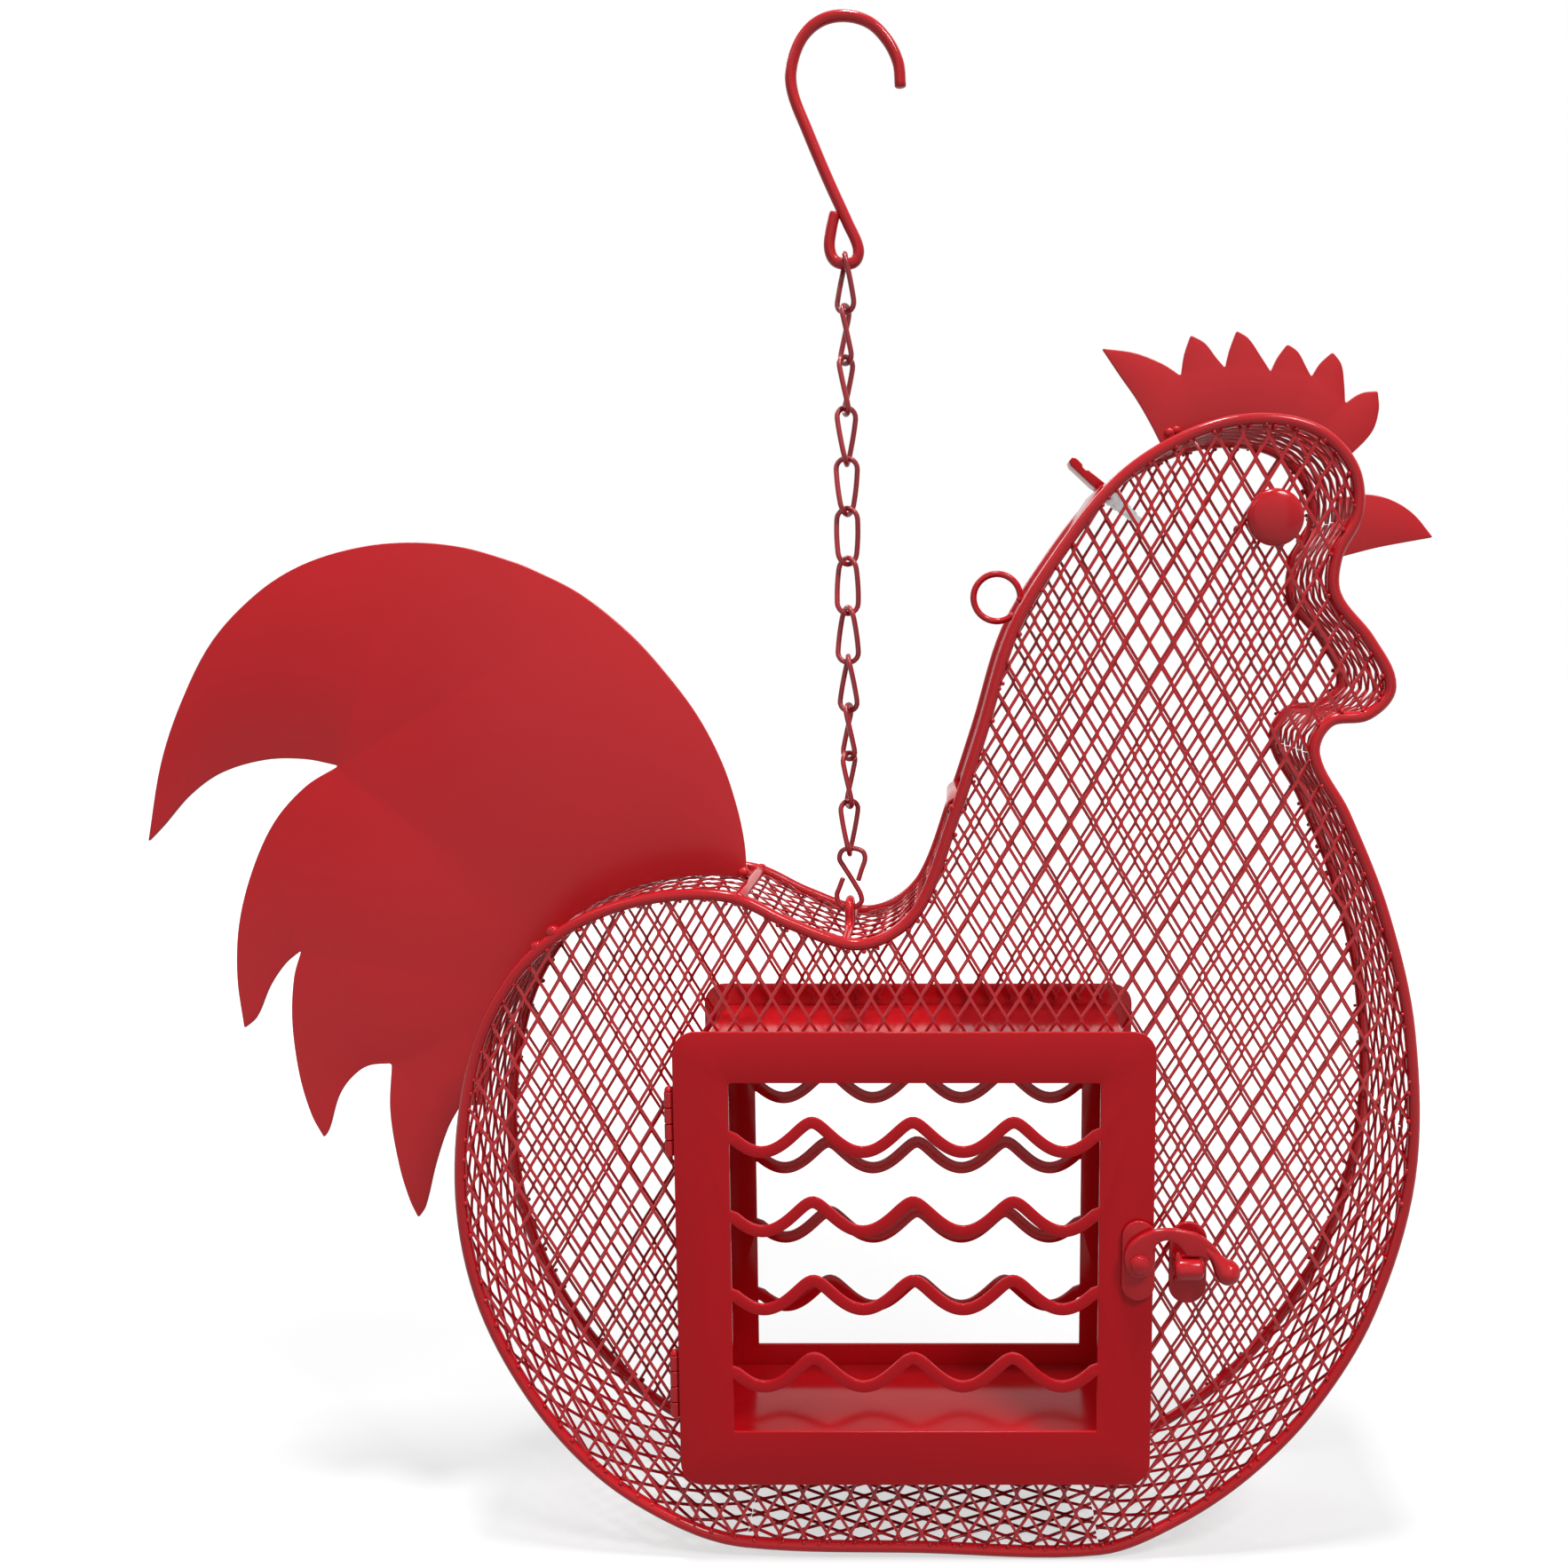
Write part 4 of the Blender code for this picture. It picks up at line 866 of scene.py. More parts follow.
def latch(finish):
    """Plate, rivet and swinging hook arm on the door, keeper plate and barrel on the side panel."""
    edge = obround(at(RIVET), LATCH_PLATE[0], LATCH_PLATE[1])
    piece("latch_plate", [plate([edge], LATCH_PLATE[2], LATCH_PLATE_Y, LATCH_ROUNDING)], finish)

    # The arm is a pressing crowned towards the front, which turns on the rivet's shank
    shank_radius = 1.4
    edge = smooth([at(p) for p in ARM_EDGE], closed=True, steps=4)
    bore = arc(at(RIVET), shank_radius + CLEARANCE, 0, 348, 29)
    crown_y = ARM_Y - 0.2
    arm = plate([edge, bore], ARM_THICKNESS + 0.4, crown_y, 0.85, 6)
    knob = moved(ball(ARM_BALL_RADIUS), deep(at(ARM_BALL), ARM_Y))
    neck_line = ((106.4, -96.4), (108.6, -98.6), (110.4, -100.9), (112.0, -103.2))
    neck = wire([deep(at(p), crown_y) for p in neck_line], [1.0, 1.5, 2.3, 3.3])
    piece("latch_arm", [arm, knob, neck], finish)

    shank_start = LATCH_PLATE_Y - LATCH_PLATE[2] / 2 - 0.1
    shank = ARM_THICKNESS + 0.5
    profile = [(0, 0), (shank_radius, 0), (shank_radius, shank)]
    profile += [(RIVET_HEAD - 0.2, shank), (RIVET_HEAD, shank + 0.2)]
    profile += [(RIVET_HEAD, shank + 0.45), (RIVET_HEAD - 0.25, shank + 0.65)]
    profile += dome_profile(RIVET_HEAD - 0.45, shank + 0.65, 0.85)
    rivet = moved(
        turned(profile), deep(at(RIVET), shank_start), Matrix.Rotation(math.radians(90), 4, "X")
    )
    piece("latch_rivet", [rivet], finish)

    plate_y = -HALF_DEPTH - 0.8 - KEEPER_PLATE[2] / 2
    edge = obround(at(KEEPER), KEEPER_PLATE[0], KEEPER_PLATE[1])
    drip = moved(ball(1.1, (1, 0.8, 1), 2), deep(at((98.9, -108.6)), plate_y - 0.5))
    back = plate([edge], KEEPER_PLATE[2], plate_y, LATCH_ROUNDING)
    piece("keeper_plate", [back, drip], finish)

    # The staple: a barrel that the arm drops over, its stem, and a short horn at its inner end
    centre = at(BARREL)
    half = BARREL_LENGTH / 2
    barrel = moved(
        turned(rounded_profile(BARREL_RADIUS, -half, half, 1.7)),
        deep(centre, ARM_Y),
        Matrix.Rotation(math.radians(90), 4, "Y"),
    )
    reach = plate_y - ARM_Y
    stem = moved(
        soft_box((BARREL_LENGTH - 0.8, reach, 4.0), 0.5), deep(centre, ARM_Y + reach / 2)
    )
    horn_path = [
        deep(centre + Vector((-half + across, up)), ARM_Y)
        for across, up in ((1.7, 0.5), (1.5, 2.4), (1.3, 3.6), (1.2, 4.4))
    ]
    horn = wire(horn_path, [1.5, 1.3, 1.2, 0.95], dome=0.95)
    piece("keeper_staple", [barrel, stem, horn], finish)


def eye(node, side, finish):
    """Domed disc on the outside of a side panel."""
    profile = [(0, 0), (EYE_RADIUS - 0.3, 0), (EYE_RADIUS, 0.3)]
    profile += dome_profile(EYE_RADIUS, EYE_RIM, EYE_RISE, 12)
    seat = deep(at(EYE), side * (HALF_DEPTH + 0.5))
    turn = Matrix.Rotation(math.radians(-90 * side), 4, "X")
    piece(node, [moved(turned(profile, 48), seat, turn)], finish)


def far_eye(node, finish):
    """Small weld pad on the far panel, opposite the eye."""
    pad = moved(ball(1.5, (1, 0.5, 1)), deep(at(EYE), HALF_DEPTH + 0.5))
    piece(node, [pad], finish)


# Silhouette sheets: strokes that join at corners, each a soft curve through its points
TAIL_STROKES = (
    (
        (-31.8, 8.2), (-32.5, 19.4), (-34.6, 30.4), (-38.9, 44.1), (-45.9, 58.2),
        (-54.6, 70.4), (-66.0, 83.4), (-80.9, 95.6), (-95.0, 102.9), (-102.4, 105.8),
        (-116.4, 109.7), (-132.5, 111.1), (-148.7, 109.4), (-165.1, 104.3), (-178.9, 95.9),
        (-193.2, 81.6), (-203.8, 63.0), (-211.2, 44.0), (-216.6, 19.7),
    ),
    ((-211.6, 24.7), (-202.8, 34.3), (-192.8, 41.2), (-179.0, 45.2), (-166.7, 45.4), (-156.7, 43.4)),
    ((-167.1, 37.1), (-177.3, 26.1), (-185.0, 10.8), (-190.0, -6.0), (-191.5, -22.9), (-190.2, -39.4)),
    ((-186.1, -35.7), (-181.4, -25.8), (-176.3, -18.7), (-171.1, -14.4)),
    ((-173.8, -22.9), (-175.1, -37.2), (-173.7, -54.4), (-170.5, -67.4), (-166.9, -74.9)),
    ((-165.1, -71.7), (-161.8, -61.6), (-157.9, -55.8), (-152.1, -51.5), (-144.5, -50.6)),
    ((-145.7, -65.9), (-143.7, -83.4), (-140.8, -95.1), (-138.2, -101.3)),
    ((-135.8, -97.5), (-131.9, -83.4), (-127.7, -71.7), (-123.6, -64.5)),
)
COMB_STROKES = (
    ((94.1, 140.1), (90.6, 146.6), (86.5, 153.3), (81.6, 160.0), (76.0, 168.0)),
    ((85.8, 166.7), (94.1, 163.6), (99.7, 160.1)),
    ((100.6, 166.4), (102.4, 171.9)),
    ((106.6, 169.6), (110.1, 165.4), (112.8, 162.4)),
    ((114.0, 167.6), (116.0, 173.2)),
    ((119.6, 170.9), (123.2, 166.0), (126.4, 161.3)),
    ((128.2, 165.2), (131.2, 169.3)),
    ((134.4, 167.0), (137.0, 162.6), (138.6, 159.8)),
    ((141.0, 163.6), (144.7, 167.0)),
    ((147.4, 163.4), (148.4, 158.0), (148.9, 152.1)),
    ((153.4, 155.0), (158.5, 155.7)),
    ((159.0, 150.0), (157.0, 143.4), (149.6, 135.6)),
)
BEAK_STROKES = (
    ((150.2, 124.6), (155.8, 125.4), (163.0, 124.0), (170.2, 119.8), (176.6, 112.6)),
    ((167.6, 111.0), (159.3, 109.4), (149.2, 106.8)),
)
TAIL_SHEET = 1.45

# Lumps of weld, each a place and a radius
FRAME_WELDS = (((-85.4, -3.0), 2.1),)
TAIL_WELDS = (((-32.8, 10.4), 1.8),)
COMB_WELDS = (((96.6, 143.4), 1.7), ((98.6, 144.2), 1.5))


def stroked(lines):
    """The strokes as one line, soft within each stroke, and the numbers of its corners."""
    found, corners = [], []
    for number, line in enumerate(lines):
        points = [at(p) for p in line]
        if number:
            points.insert(0, found[-1])
            corners.append(len(found) - 1)
        found = found[:-1] + smooth(points, closed=False, steps=6)
    return found, corners


def silhouette(node, lines, overlap, thickness, tip, welds, finish):
    """Flat sheet in the middle plane, welded on. Its inner edge follows the body at this distance
    outside it, and its points are rounded by tip."""
    edge, corners = stroked(lines)
    start, end = nearest(OUTLINE, edge[0]), nearest(OUTLINE, edge[-1])
    outside = offset(OUTLINE, -overlap)
    count = len(OUTLINE)
    step = 1 if (start - end) % count < count / 2 else -1
    inner = [outside[end]]
    i = end
    while i != start:
        i = (i + step) % count
        inner.append(outside[i])
    line = filleted(edge + inner, corners, tip)
    lumps = [weld(deep(at(place), -thickness / 2), size) for place, size in welds]
    rounding = 0.35
    piece(node, [plate([line], thickness, 0, rounding)] + lumps, finish)


# Hanging gear
TOP_HOOK = (
    (16.5, 242.4), (15.8, 249.0), (12.6, 255.2), (7.4, 260.0), (0.0, 261.8),
    (-7.0, 260.2), (-12.4, 255.2), (-15.3, 247.0), (-14.8, 240.2), (-11.0, 230.5),
    (-5.0, 216.5), (0.8, 204.0), (3.9, 196.8), (3.0, 193.2), (0.0, 192.3),
    (-3.2, 193.4), (-4.6, 197.0), (-4.0, 202.2), (-3.0, 206.6),
)
SMALL_HOOK = (
    (2.6, 7.8), (3.6, 11.0), (4.7, 14.6), (3.9, 16.8), (0.9, 17.75),
    (-2.2, 17.1), (-3.2, 14.6), (-1.8, 11.9), (0.1, 8.9), (1.9, 5.9),
    (3.3, 3.2), (3.4, 0.8), (0.2, -1.1), (-3.0, -0.2), (-4.1, 2.9),
    (-3.3, 5.4), (-2.2, 8.3),
)


def bent_wire(node, knots, radius, finish):
    """Hook of round wire in the middle plane."""
    line = smooth([at(p) for p in knots], closed=False)
    piece(node, [wire([deep(p, 0) for p in line], radius, dome=0.35)], finish)


def chain_link(number, top, pitch, angle, finish):
    """Long round-ended link, twisted about its length, whose upper inside is at top."""
    crown = (LINK_WIDTH - 2 * THIN_WIRE) / 2
    half = pitch / 2 + THIN_WIRE
    straight = half - crown
    bends = 10
    runs = 8
    loop = []
    for side in (1, -1):
        for step in range(bends + 1):
            a = math.pi * step / bends
            height = side * (straight + crown * math.sin(a))
            loop.append((side * crown * math.cos(a), height))
        for step in range(1, runs):
            loop.append((-side * crown, side * straight * (1 - 2 * step / runs)))
    path = []
    for across, height in loop:
        turn = angle + LINK_TWIST * (half - height) / (2 * half)
        z = top + THIN_WIRE - half + height
        path.append(Vector((across * math.cos(turn), across * math.sin(turn), z)))
    piece(f"chain_link_{number:02d}", [wire(path, THIN_WIRE, closed=True, sides=12)], finish)


def chain(finish):
    """Twelve links; each hangs in the one above, turned a quarter from that link's lower end."""
    pitch = (HOOK_EYE_BOTTOM - SMALL_HOOK_TOP) / LINKS
    angle = FIRST_LINK_ANGLE
    for number in range(1, LINKS + 1):
        top = HOOK_EYE_BOTTOM + LINK_CONTACT - (number - 1) * pitch
        chain_link(number, top, pitch + LINK_CONTACT, angle, finish)
        angle += LINK_TWIST + math.radians(90)


def hanger_rod(finish):
    """Rod across the saddle, bent up in its middle into the hoop that carries the body."""
    crown = HANGER_Z + HOOP_WIRE + LINK_CONTACT / 2
    low = HANGER_Z + HANGER_ROD[1]
    hoop = 4.2
    side = [(HALF_DEPTH, low), (hoop + 9.0, low), (hoop + 4.0, low), (hoop + 1.4, low + 0.8)]
    side += [(hoop, low + 3.0), (hoop - 0.4, crown - 2.4), (hoop - 1.8, crown - 0.6)]
    half = [Vector((y, z)) for y, z in side]
    other = [Vector((-y, z)) for y, z in reversed(side)]
    line = smooth(half + [Vector((0, crown))] + other, closed=False, steps=5)
    piece("hanger_rod", [wire([Vector((0, p.x, p.y)) for p in line], HOOP_WIRE)], finish)


def cross_rod(node, place, finish, proud=0.4):
    """Straight rod whose ends run into the two frames, where it is welded."""
    path = [deep(at(place), HALF_DEPTH * share) for share in (-1, -0.5, 0, 0.5, 1)]
    out = deep(right_of(heading_at(OUTLINE, nearest(OUTLINE, at(place)))), 0)
    welds = [weld(end + out * proud, ROD_WELD) for end in (path[0], path[-1])]
    piece(node, [wire(path, WIRE)] + welds, finish)


def weld(place, size):
    """Small uneven lump of weld metal under the coating."""
    bm = ball(size, (1, 0.8, 0.9))
    uneven = 0.07
    for vert in bm.verts:
        vert.co *= 1 + chance.uniform(-uneven, uneven)
    bmesh.ops.smooth_vert(
        bm, verts=bm.verts, factor=0.5, use_axis_x=True, use_axis_y=True, use_axis_z=True
    )
    return moved(bm, place)


def frame_wire(node, y, ends, finish, welds=()):
    """Bent wire that draws the whole body, beaded where the panel's strands meet it."""
    path = [deep(p, y) for p in OUTLINE]
    shapes = [wire(path, WIRE, closed=True, sides=16)]
    for end in ends:
        place = Vector((end.x, end.z))
        inward = (place - OUTLINE[nearest(OUTLINE, place)]).normalized()
        shapes.append(nub(deep(place + inward * NUB_INWARD, y + math.copysign(NUB_OUTSIDE, y))))
    shapes += [weld(deep(at(place), y), size) for place, size in welds]
    piece(node, shapes, finish)


def nub(place):
    """Bead of coating where a strand runs onto the frame."""
    bm = bmesh.new()
    radius = NUB_RADIUS * chance.uniform(0.75, 1.2)
    bmesh.ops.create_uvsphere(bm, u_segments=8, v_segments=5, radius=radius)
    return moved(smoothed(bm), place)


# Filler lid and its catch

def lid(finish):
    """Curved sheet that fills the back of the neck, curled round its cross rod at the lower end."""
    curl = WIRE + CLEARANCE + LID_SHEET / 2
    line = stretch(NECK_ROD, LID_ROD, WIRE + 2 * CLEARANCE, curl + 1.0)
    lip = offset(line, -LID_LIP, closed=False)
    for i, (far, outer) in enumerate(zip(lengths(line), lip)):
        line[i] = line[i].lerp(outer, max(0.0, 1 - far / LID_LIP_LENGTH))
    heading = (line[-1] - line[0]).normalized()
    arrive = math.degrees(math.atan2(-heading.x, heading.y)) + 180
    path = line[:-1] + arc(at(LID_ROD), curl, arrive, arrive + LID_CURL, 20)
    half = LID_SHEET / 2
    edge = offset(path, half, closed=False) + offset(path, -half, closed=False)[::-1]
    piece("lid", [plate([edge], LID_WIDTH, 0, 0.3)], finish)


def pull_ring(finish):
    """Open wire ring standing out from the lid, with its two ends on it."""
    first = RING_FACING + RING_GAP
    last = RING_FACING + 360 - RING_GAP
    path = [deep(p, 0) for p in arc(at(RING_CENTRE), RING_RADIUS, first, last, 48)]
    feet = [weld(end, RING_WELD) for end in (path[0], path[-1])]
    piece("pull_ring", [wire(path, RING_WIRE)] + feet, finish)


def strip(start, heading, outline, width, rounding):
    """Flat strip seen edge-on, from its (along, across) outline about a start and a heading."""
    side = Vector((-heading.y, heading.x))
    return plate([[start + heading * a + side * b for a, b in outline]], width, 0, rounding)


def catch(red, zinc):
    """Lid catch on the neck rod: a painted tab outside, a bare ridged spring piece inside."""
    angle = math.radians(CATCH_DIRECTION)
    out = Vector((math.cos(angle), math.sin(angle)))
    start = at(NECK_ROD)
    near = WIRE + 0.1
    half = CATCH_HALF
    far = near + CATCH_LENGTH
    tab = [
        (near, half),
        (near + 2.5, half + 0.3),
        (far - 1.2, half),
        (far, half - 0.7),
        (far, 0.7 - half),
        (far - 1.2, -half),
        (far - 3.6, 0.2 - half),
        (far - 4.4, 0.8 - half),
        (far - 5.6, 0.8 - half),
        (far - 6.2, 0.3 - half),
        (near, -half),
    ]
    piece("catch_tab", [strip(start, out, tab, CATCH_WIDTH, 0.3)], red)
    ridge = SPRING_LENGTH / (SPRING_RIDGES + 1)
    upper = []
    for i in range(SPRING_RIDGES + 1):
        a = near + i * ridge
        thick = 2.1 - 0.3 * i
        upper += [(a, thick), (a + ridge * 0.6, thick)]
        if i < SPRING_RIDGES:
            upper += [(a + ridge * 0.7, thick - 0.35), (a + ridge * 0.9, thick - 0.35)]
    lower = [(a, -b) for a, b in upper]
    spring = strip(start, -out, lower + upper[::-1], CATCH_WIDTH - 3, 0.15)
    piece("catch_spring", [spring], zinc)


# Materials

def linear(code):
    """An sRGB hex colour as linear RGBA."""
    parts = [int(code[i : i + 2], 16) / 255 for i in (1, 3, 5)]
    return [c / 12.92 if c < 0.04045 else ((c + 0.055) / 1.055) ** 2.4 for c in parts] + [1.0]


def add(tree, kind, settings, links=()):
    """A node with its settings, by socket or by property, and its links from other nodes' sockets."""
    made = tree.nodes.new(kind)
    for key, value in settings.items():
        if hasattr(made, key):
            setattr(made, key, value)
        else:
            made.inputs[key].default_value = value
    for socket, source in links:
        tree.links.new(source, made.inputs[socket])
    return made


def blank_material(name):
    """A new material, its empty node tree, and its piece's own coordinates in metres."""
    made = bpy.data.materials.new(name)
    made.use_nodes = True
    tree = made.node_tree
    tree.nodes.clear()
    return made, tree, add(tree, "ShaderNodeTexCoord", {}).outputs["Object"]


def enlarged(tree, place, cell_mm):
    """The coordinates in cells of this many millimetres."""
    settings = {"Scale": [1 / (cell_mm * MM)] * 3}
    return add(tree, "ShaderNodeMapping", settings, [("Vector", place)]).outputs[0]


def noise(tree, place, lump_mm, detail, roughness):
    """Soft noise whose largest lumps are about this many millimetres across."""
    settings = {"Scale": 1.0, "Detail": detail, "Roughness": roughness}
    source = enlarged(tree, place, lump_mm)
    return add(tree, "ShaderNodeTexNoise", settings, [("Vector", source)]).outputs["Fac"]


def two_tones(tree, share, dark, light):
    """One colour through the low part of the share and another through its high part."""
    ramp = add(tree, "ShaderNodeValToRGB", {}, [("Fac", share)])
    for stop, position, code in zip(ramp.color_ramp.elements, (0.3, 0.7), (dark, light)):
        stop.position = position
        stop.color = linear(code)
    return ramp.outputs["Color"]


def remapped(tree, value, low, high, settings=None):
    """The value drawn out to run from low to high."""
    ends = {"To Min": low, "To Max": high, **(settings or {})}
    return add(tree, "ShaderNodeMapRange", ends, [("Value", value)]).outputs["Result"]


def combined(tree, operation, first, second):
    """Two values put together by this operation."""
    links = [(0, first), (1, second)]
    return add(tree, "ShaderNodeMath", {"operation": operation}, links).outputs[0]


def surface(tree, colour, roughness, height, strength, depth_m, settings):
    """Ends a material in one shader with this colour, roughness and relief."""
    relief = {"Strength": strength, "Distance": depth_m}
    bump = add(tree, "ShaderNodeBump", relief, [("Height", height)])
    links = [("Base Color", colour), ("Roughness", roughness), ("Normal", bump.outputs["Normal"])]
    shader = add(tree, "ShaderNodeBsdfPrincipled", settings, links)
    add(tree, "ShaderNodeOutputMaterial", {}, [("Surface", shader.outputs[0])])


def powder_coat(name, dark, light, roughness, specular, peel, patch_mm, nibs=0.0):
    """Gloss polyester powder baked on steel: even colour, a soft clear skin and fine orange peel."""
    made, tree, place = blank_material(name)
    # Thickness of the coat drifts over a few centimetres, which shifts its depth of colour a little
    drift = noise(tree, place, patch_mm, 3.0, 0.55)
    colour = two_tones(tree, drift, dark, light)
    gloss = remapped(tree, drift, roughness - 0.05, roughness + 0.07)
    # Orange peel: shallow dimples about 1.2 mm across, with finer grain between
    dimples = noise(tree, place, 1.2, 4.0, 0.6)
    # Nibs: specks of dust under the coat, about 0.4 mm across and a centimetre apart
    cells = [("Vector", enlarged(tree, place, 11.0))]
    specks = add(tree, "ShaderNodeTexVoronoi", {"Scale": 1.0, "Randomness": 1.0}, cells)
    bead = remapped(tree, specks.outputs["Distance"], nibs, 0.0, {"From Min": 0.02, "From Max": 0.05})
    height = combined(tree, "ADD", dimples, bead)
    skin = {"Metallic": 0.0, "IOR": 1.5, "Specular IOR Level": specular}
    surface(tree, colour, gloss, height, peel, 0.0002, skin)
    return made


def zinc_plate(name):
    """Bright zinc plating on a steel pressing: grey metal, cloudy, in a thin uneven layer."""
    made, tree, place = blank_material(name)
    # Clouds of oxide about 2 mm across
    clouds = noise(tree, place, 2.0, 5.0, 0.6)
    colour = two_tones(tree, clouds, "#a2a2a4", "#cdcdcf")
    gloss = remapped(tree, clouds, 0.3, 0.5)
    surface(tree, colour, gloss, clouds, 0.2, 0.0001, {"Metallic": 1.0})
    return made


def seen_directly(tree):
    """One for rays that show the background: from the camera, in a reflection or through glass."""
    rays = add(tree, "ShaderNodeLightPath", {}).outputs
    either = combined(tree, "MAXIMUM", rays["Is Camera Ray"], rays["Is Glossy Ray"])
    return combined(tree, "MAXIMUM", either, rays["Is Transmission Ray"])


def paper_sweep():
    """Matt pale paper that keeps the object's shadow and runs out to plain white."""
    made, tree, place = blank_material("matt_paper")
    flat = add(tree, "ShaderNodeMapping", {"Scale": (1.0, 1.0, 0.0)}, [("Vector", place)])
    length = {"operation": "LENGTH"}
    away = add(tree, "ShaderNodeVectorMath", length, [("Vector", flat.outputs[0])]).outputs["Value"]
    fade = {"interpolation_type": "SMOOTHSTEP", "From Min": 0.2, "From Max": 0.6}
    glow = combined(tree, "MULTIPLY", remapped(tree, away, 0.62, 1.0, fade), seen_directly(tree))
    paper = add(tree, "ShaderNodeBsdfDiffuse", {"Color": linear("#8e8e8e")})
    white = add(tree, "ShaderNodeEmission", {"Color": linear("#ffffff")}, [("Strength", glow)])
    both = add(tree, "ShaderNodeAddShader", {}, [(0, paper.outputs[0]), (1, white.outputs[0])])
    add(tree, "ShaderNodeOutputMaterial", {}, [("Surface", both.outputs[0])])
    return made


def build():
    """Every piece of the feeder, in its finish."""
    wire_red = powder_coat("powder_coated_wire", "#a20f18", "#ae141c", 0.15, 0.2, 0.15, 60)
    mesh_red = powder_coat("powder_coated_expanded_metal", "#a40f19", "#ae161f", 0.24, 0.36, 0.2, 40)
    plate_red = powder_coat("powder_coated_pressing", "#a50d16", "#ab1019", 0.15, 0.1, 0.05, 90, 3.0)
    # The same red coat as the door, painted lighter: painted light standing in for the frontal light
    # that reaches inside the suet box
    box_red_painted_light = powder_coat("powder_coated_box_painted_light", "#ba0f18", "#c1131b", 0.15, 0.24, 0.05, 90, 3.0)
    sheet_red = powder_coat("powder_coated_sheet", "#ab1119", "#b3161d", 0.3, 0.26, 0.1, 90, 3.0)
    chain_red = powder_coat("powder_coated_chain", "#87121b", "#981a23", 0.28, 0.4, 0.3, 30)
    zinc = zinc_plate("zinc_plated_steel")

    front_ends = side_panel("front_mesh", -HALF_DEPTH, STRAND_LEAN, mesh_red)
    back_ends = side_panel("back_mesh", HALF_DEPTH, -STRAND_LEAN, mesh_red)
    frame_wire("front_frame", -HALF_DEPTH, front_ends, wire_red, FRAME_WELDS)
    frame_wire("back_frame", HALF_DEPTH, back_ends, wire_red)

    # Each length of band, the places that it runs between, and how far it stops before each
    bands = (
        ("band_saddle_left", HANGER_ROD, TAIL_ROD, 0.5, 0.5),
        ("band_tail", TAIL_ROD, REAR_ROD, 0.5, 0.5),
        ("band_rump", REAR_ROD, BASE_LEFT, 0.5, 0.1),
        ("band_base", BASE_LEFT, BASE_RIGHT, 0.1, 0.1),
        ("band_belly", BASE_RIGHT, BELLY_SEAM, 0.1, 0.1),
        ("band_chest", BELLY_SEAM, CHEST_SEAM, 0.1, 0.1),
        ("band_throat", CHEST_SEAM, HEAD_SEAM, 0.1, 0.1),
        ("band_crown", HEAD_SEAM, NECK_ROD, 0.1, 0.5),
        ("band_saddle_right", LID_ROD, HANGER_ROD, 3.4, 0.5),
    )
    for node, start, end, start_gap, end_gap in bands:
        edge_band(node, stretch(start, end, start_gap, end_gap), mesh_red)

    hanger_rod(wire_red)
    cross_rod("tail_rod", TAIL_ROD, wire_red)
    cross_rod("rear_rod", REAR_ROD, wire_red, 1.1)
    cross_rod("lid_rod", LID_ROD, wire_red)
    cross_rod("neck_rod", NECK_ROD, wire_red, 0.0)
    # The box and the back grille wear the lighter coat, whose extra brightness is painted light inside
    # the box
    suet_box(box_red_painted_light)
    back_y = BOX_BACK + CLEARANCE + PLATE / 2
    front_y = (DOOR_BACK + DOOR_FRONT) / 2
    grille(
        "back_grille", back_y, BACK_WINDOW_UP, BACK_BARS_AT, BACK_BAR_WIDTH, BACK_FILLET, box_red_painted_light
    )
    grille("door", front_y, DOOR_WINDOW_UP, FRONT_BARS_AT, BAR_WIDTH, DOOR_FILLET, plate_red)
    frame_leaf_y = FLANGE_FRONT - CLEARANCE - LEAF_THICKNESS / 2
    door_leaf_y = DOOR_BACK + CLEARANCE + LEAF_THICKNESS / 2
    for place, up in HINGE_CENTRES.items():
        centre_z = at((0, up)).y
        hinge_leaf(f"hinge_frame_leaf_{place}", centre_z, 0, frame_leaf_y, wire_red)
        hinge_leaf(f"hinge_door_leaf_{place}", centre_z, 1, door_leaf_y, wire_red)
        hinge_pin(f"hinge_pin_{place}", centre_z, wire_red)
    latch(wire_red)
    eye("eye_front", -1, wire_red)
    far_eye("eye_back", wire_red)
    silhouette("tail", TAIL_STROKES, WIRE - 0.6, TAIL_SHEET, 1.0, TAIL_WELDS, sheet_red)
    silhouette("comb", COMB_STROKES, 0.4, PLATE, 0.8, COMB_WELDS, sheet_red)
    silhouette("beak", BEAK_STROKES, 0.4, PLATE, 0.7, (), sheet_red)
    lid(plate_red)
    pull_ring(wire_red)
    catch(plate_red, zinc)
    bent_wire("top_hook", TOP_HOOK, HOOK_WIRE, wire_red)
    chain(chain_red)
    bent_wire("s_hook", SMALL_HOOK, THIN_WIRE, chain_red)


# Studio
FLOOR_HALF = 4.0
FLOOR_BACK = 2.5  # the floor runs further behind the object than before it
FLOOR_BELOW = 0.0005
AROUND = 0.18  # brightness of the white surroundings for the light that they give
AIM = (0.0, 0.0, -0.25)

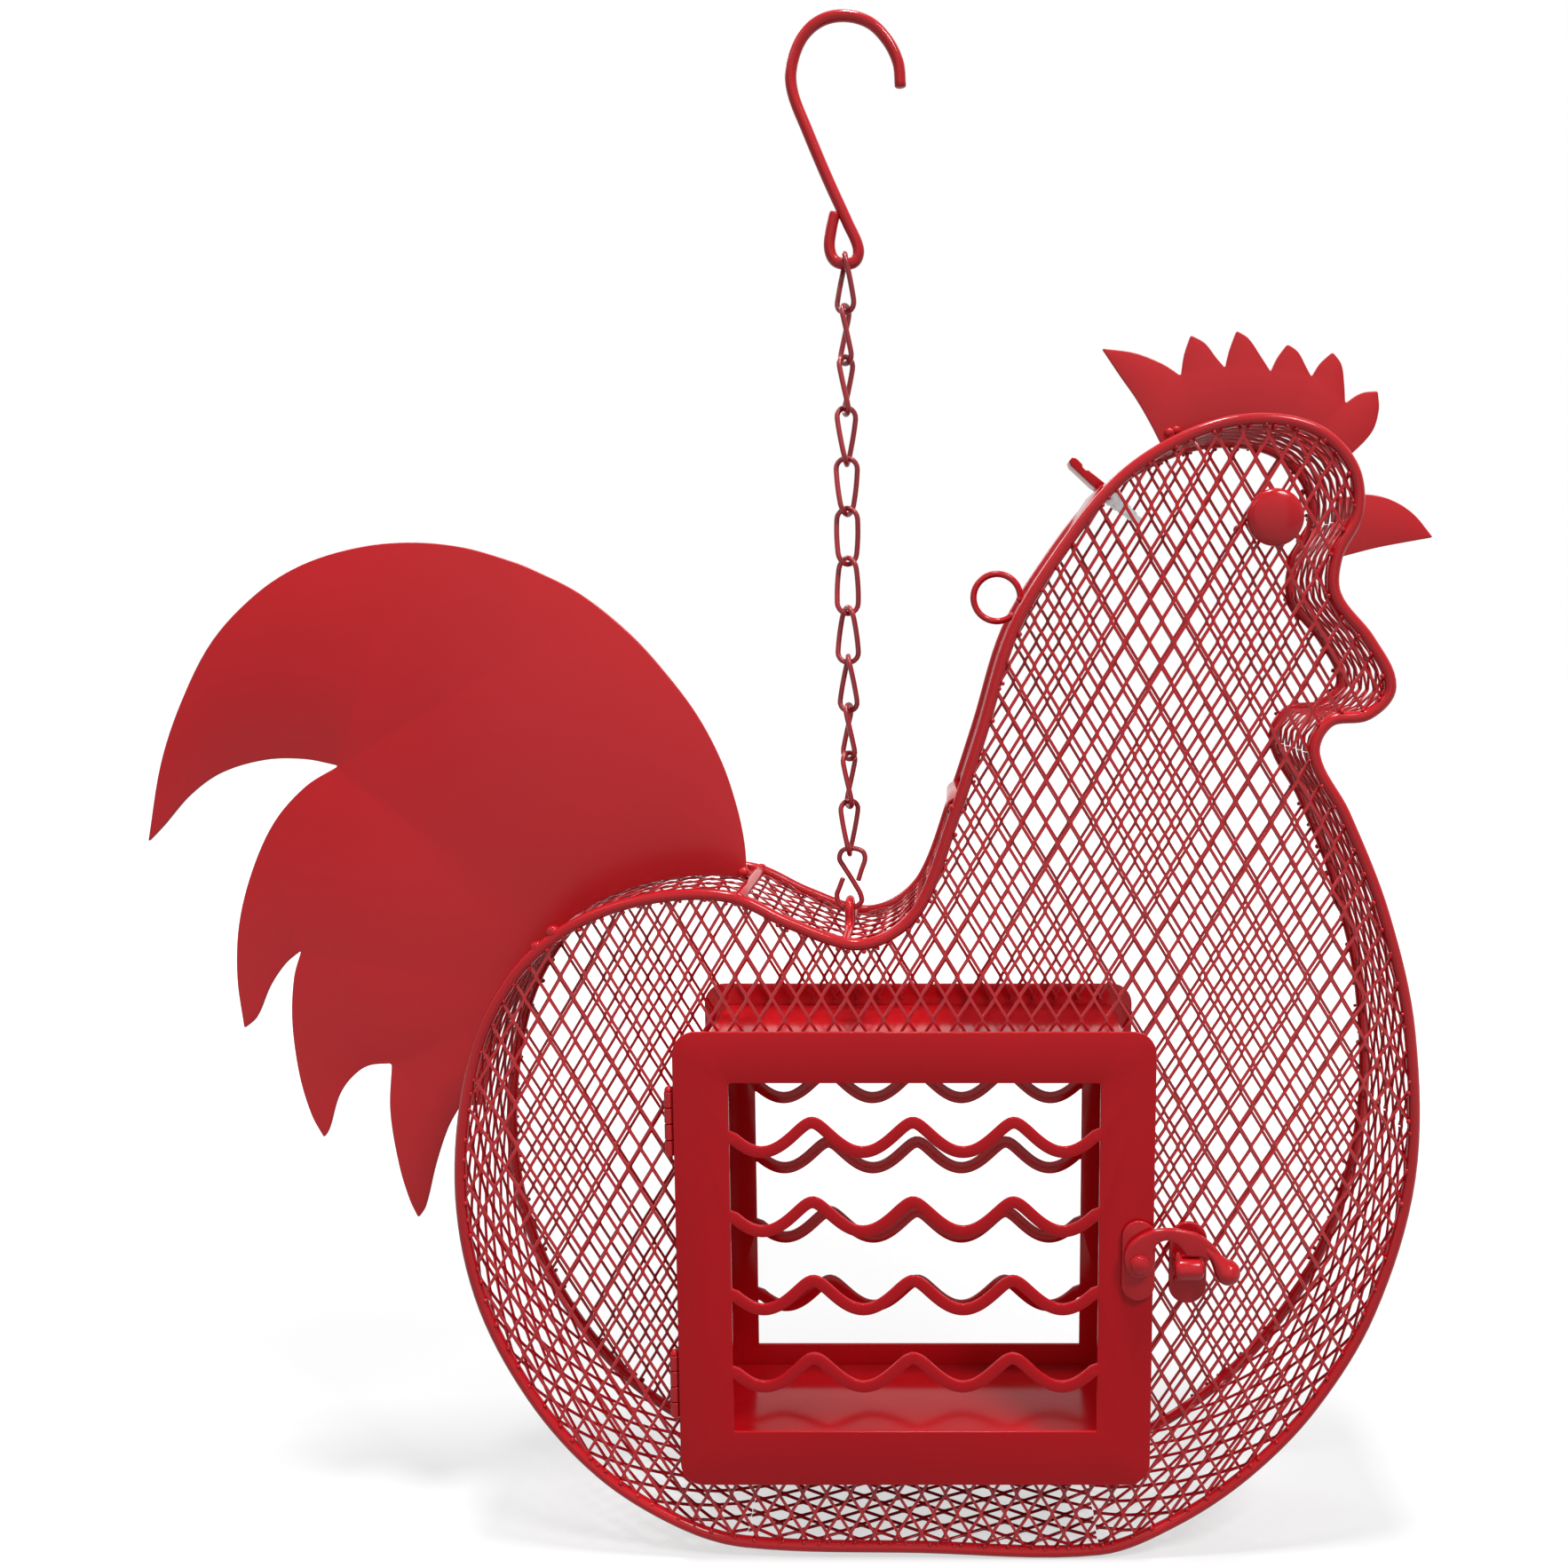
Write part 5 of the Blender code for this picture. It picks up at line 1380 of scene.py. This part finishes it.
# Each lamp's place and width in metres, and its power in watts
LAMPS = {
    "key_right": ((1.05, -1.12, 1.72), 0.5, 42.0),
    "fill_left": ((-0.9, -0.8, 0.9), 0.5, 2.5),
    "fill_front": ((0.1, -1.9, 0.3), 2.0, 8.0),
    "ceiling": ((0.0, -0.3, 2.0), 0.3, 48.0),
    "fill_back": ((-1.4, 1.4, 1.3), 1.0, 22.0),
}
CAMERA_PLACE = (0.0301, -0.4275, -0.1744)
CAMERA_DOWN = 6.4  # degrees
LENS = 32.1
SENSOR = 36
LENS_SHIFT = -0.104


def paper_floor():
    """Paper just below the object, which is no part of it."""
    bm = bmesh.new()
    bmesh.ops.create_grid(bm, x_segments=1, y_segments=1, size=FLOOR_HALF)
    bmesh.ops.translate(bm, vec=(0, FLOOR_BACK, cad_box[0][2] - FLOOR_BELOW), verts=bm.verts)
    mesh = bpy.data.meshes.new("floor")
    bm.to_mesh(mesh)
    bm.free()
    mesh.materials.append(paper_sweep())
    made = bpy.data.objects.new("floor", mesh)
    bpy.context.scene.collection.objects.link(made)


def white_room():
    """Plain white where it is seen, and dimmer as a source of light."""
    world = bpy.data.worlds.new("white_room")
    bpy.context.scene.world = world
    world.use_nodes = True
    tree = world.node_tree
    tree.nodes.clear()
    level = remapped(tree, seen_directly(tree), AROUND, 1.0)
    white = add(tree, "ShaderNodeBackground", {"Color": linear("#ffffff")}, [("Strength", level)])
    add(tree, "ShaderNodeOutputWorld", {}, [("Surface", white.outputs[0])])


def studio():
    """Pale floor, white surroundings, soft lamps and the photograph's camera."""
    scene = bpy.context.scene
    scene.view_settings.view_transform = "Standard"
    paper_floor()
    white_room()
    for name, (place, size, power) in LAMPS.items():
        lamp = bpy.data.lights.new(name, "AREA")
        lamp.size = size
        lamp.energy = power
        holder = bpy.data.objects.new(name, lamp)
        holder.location = place
        aim = Vector(AIM) - Vector(place)
        holder.rotation_euler = aim.to_track_quat("-Z", "Y").to_euler()
        scene.collection.objects.link(holder)

    lens = bpy.data.cameras.new("photograph")
    lens.lens = LENS
    lens.sensor_width = SENSOR
    lens.shift_x = LENS_SHIFT
    camera = bpy.data.objects.new("photograph", lens)
    camera.location = CAMERA_PLACE
    camera.rotation_euler = (math.radians(90 - CAMERA_DOWN), 0, 0)
    scene.collection.objects.link(camera)
    scene.camera = camera


build()
studio()
bpy.context.view_layer.update()
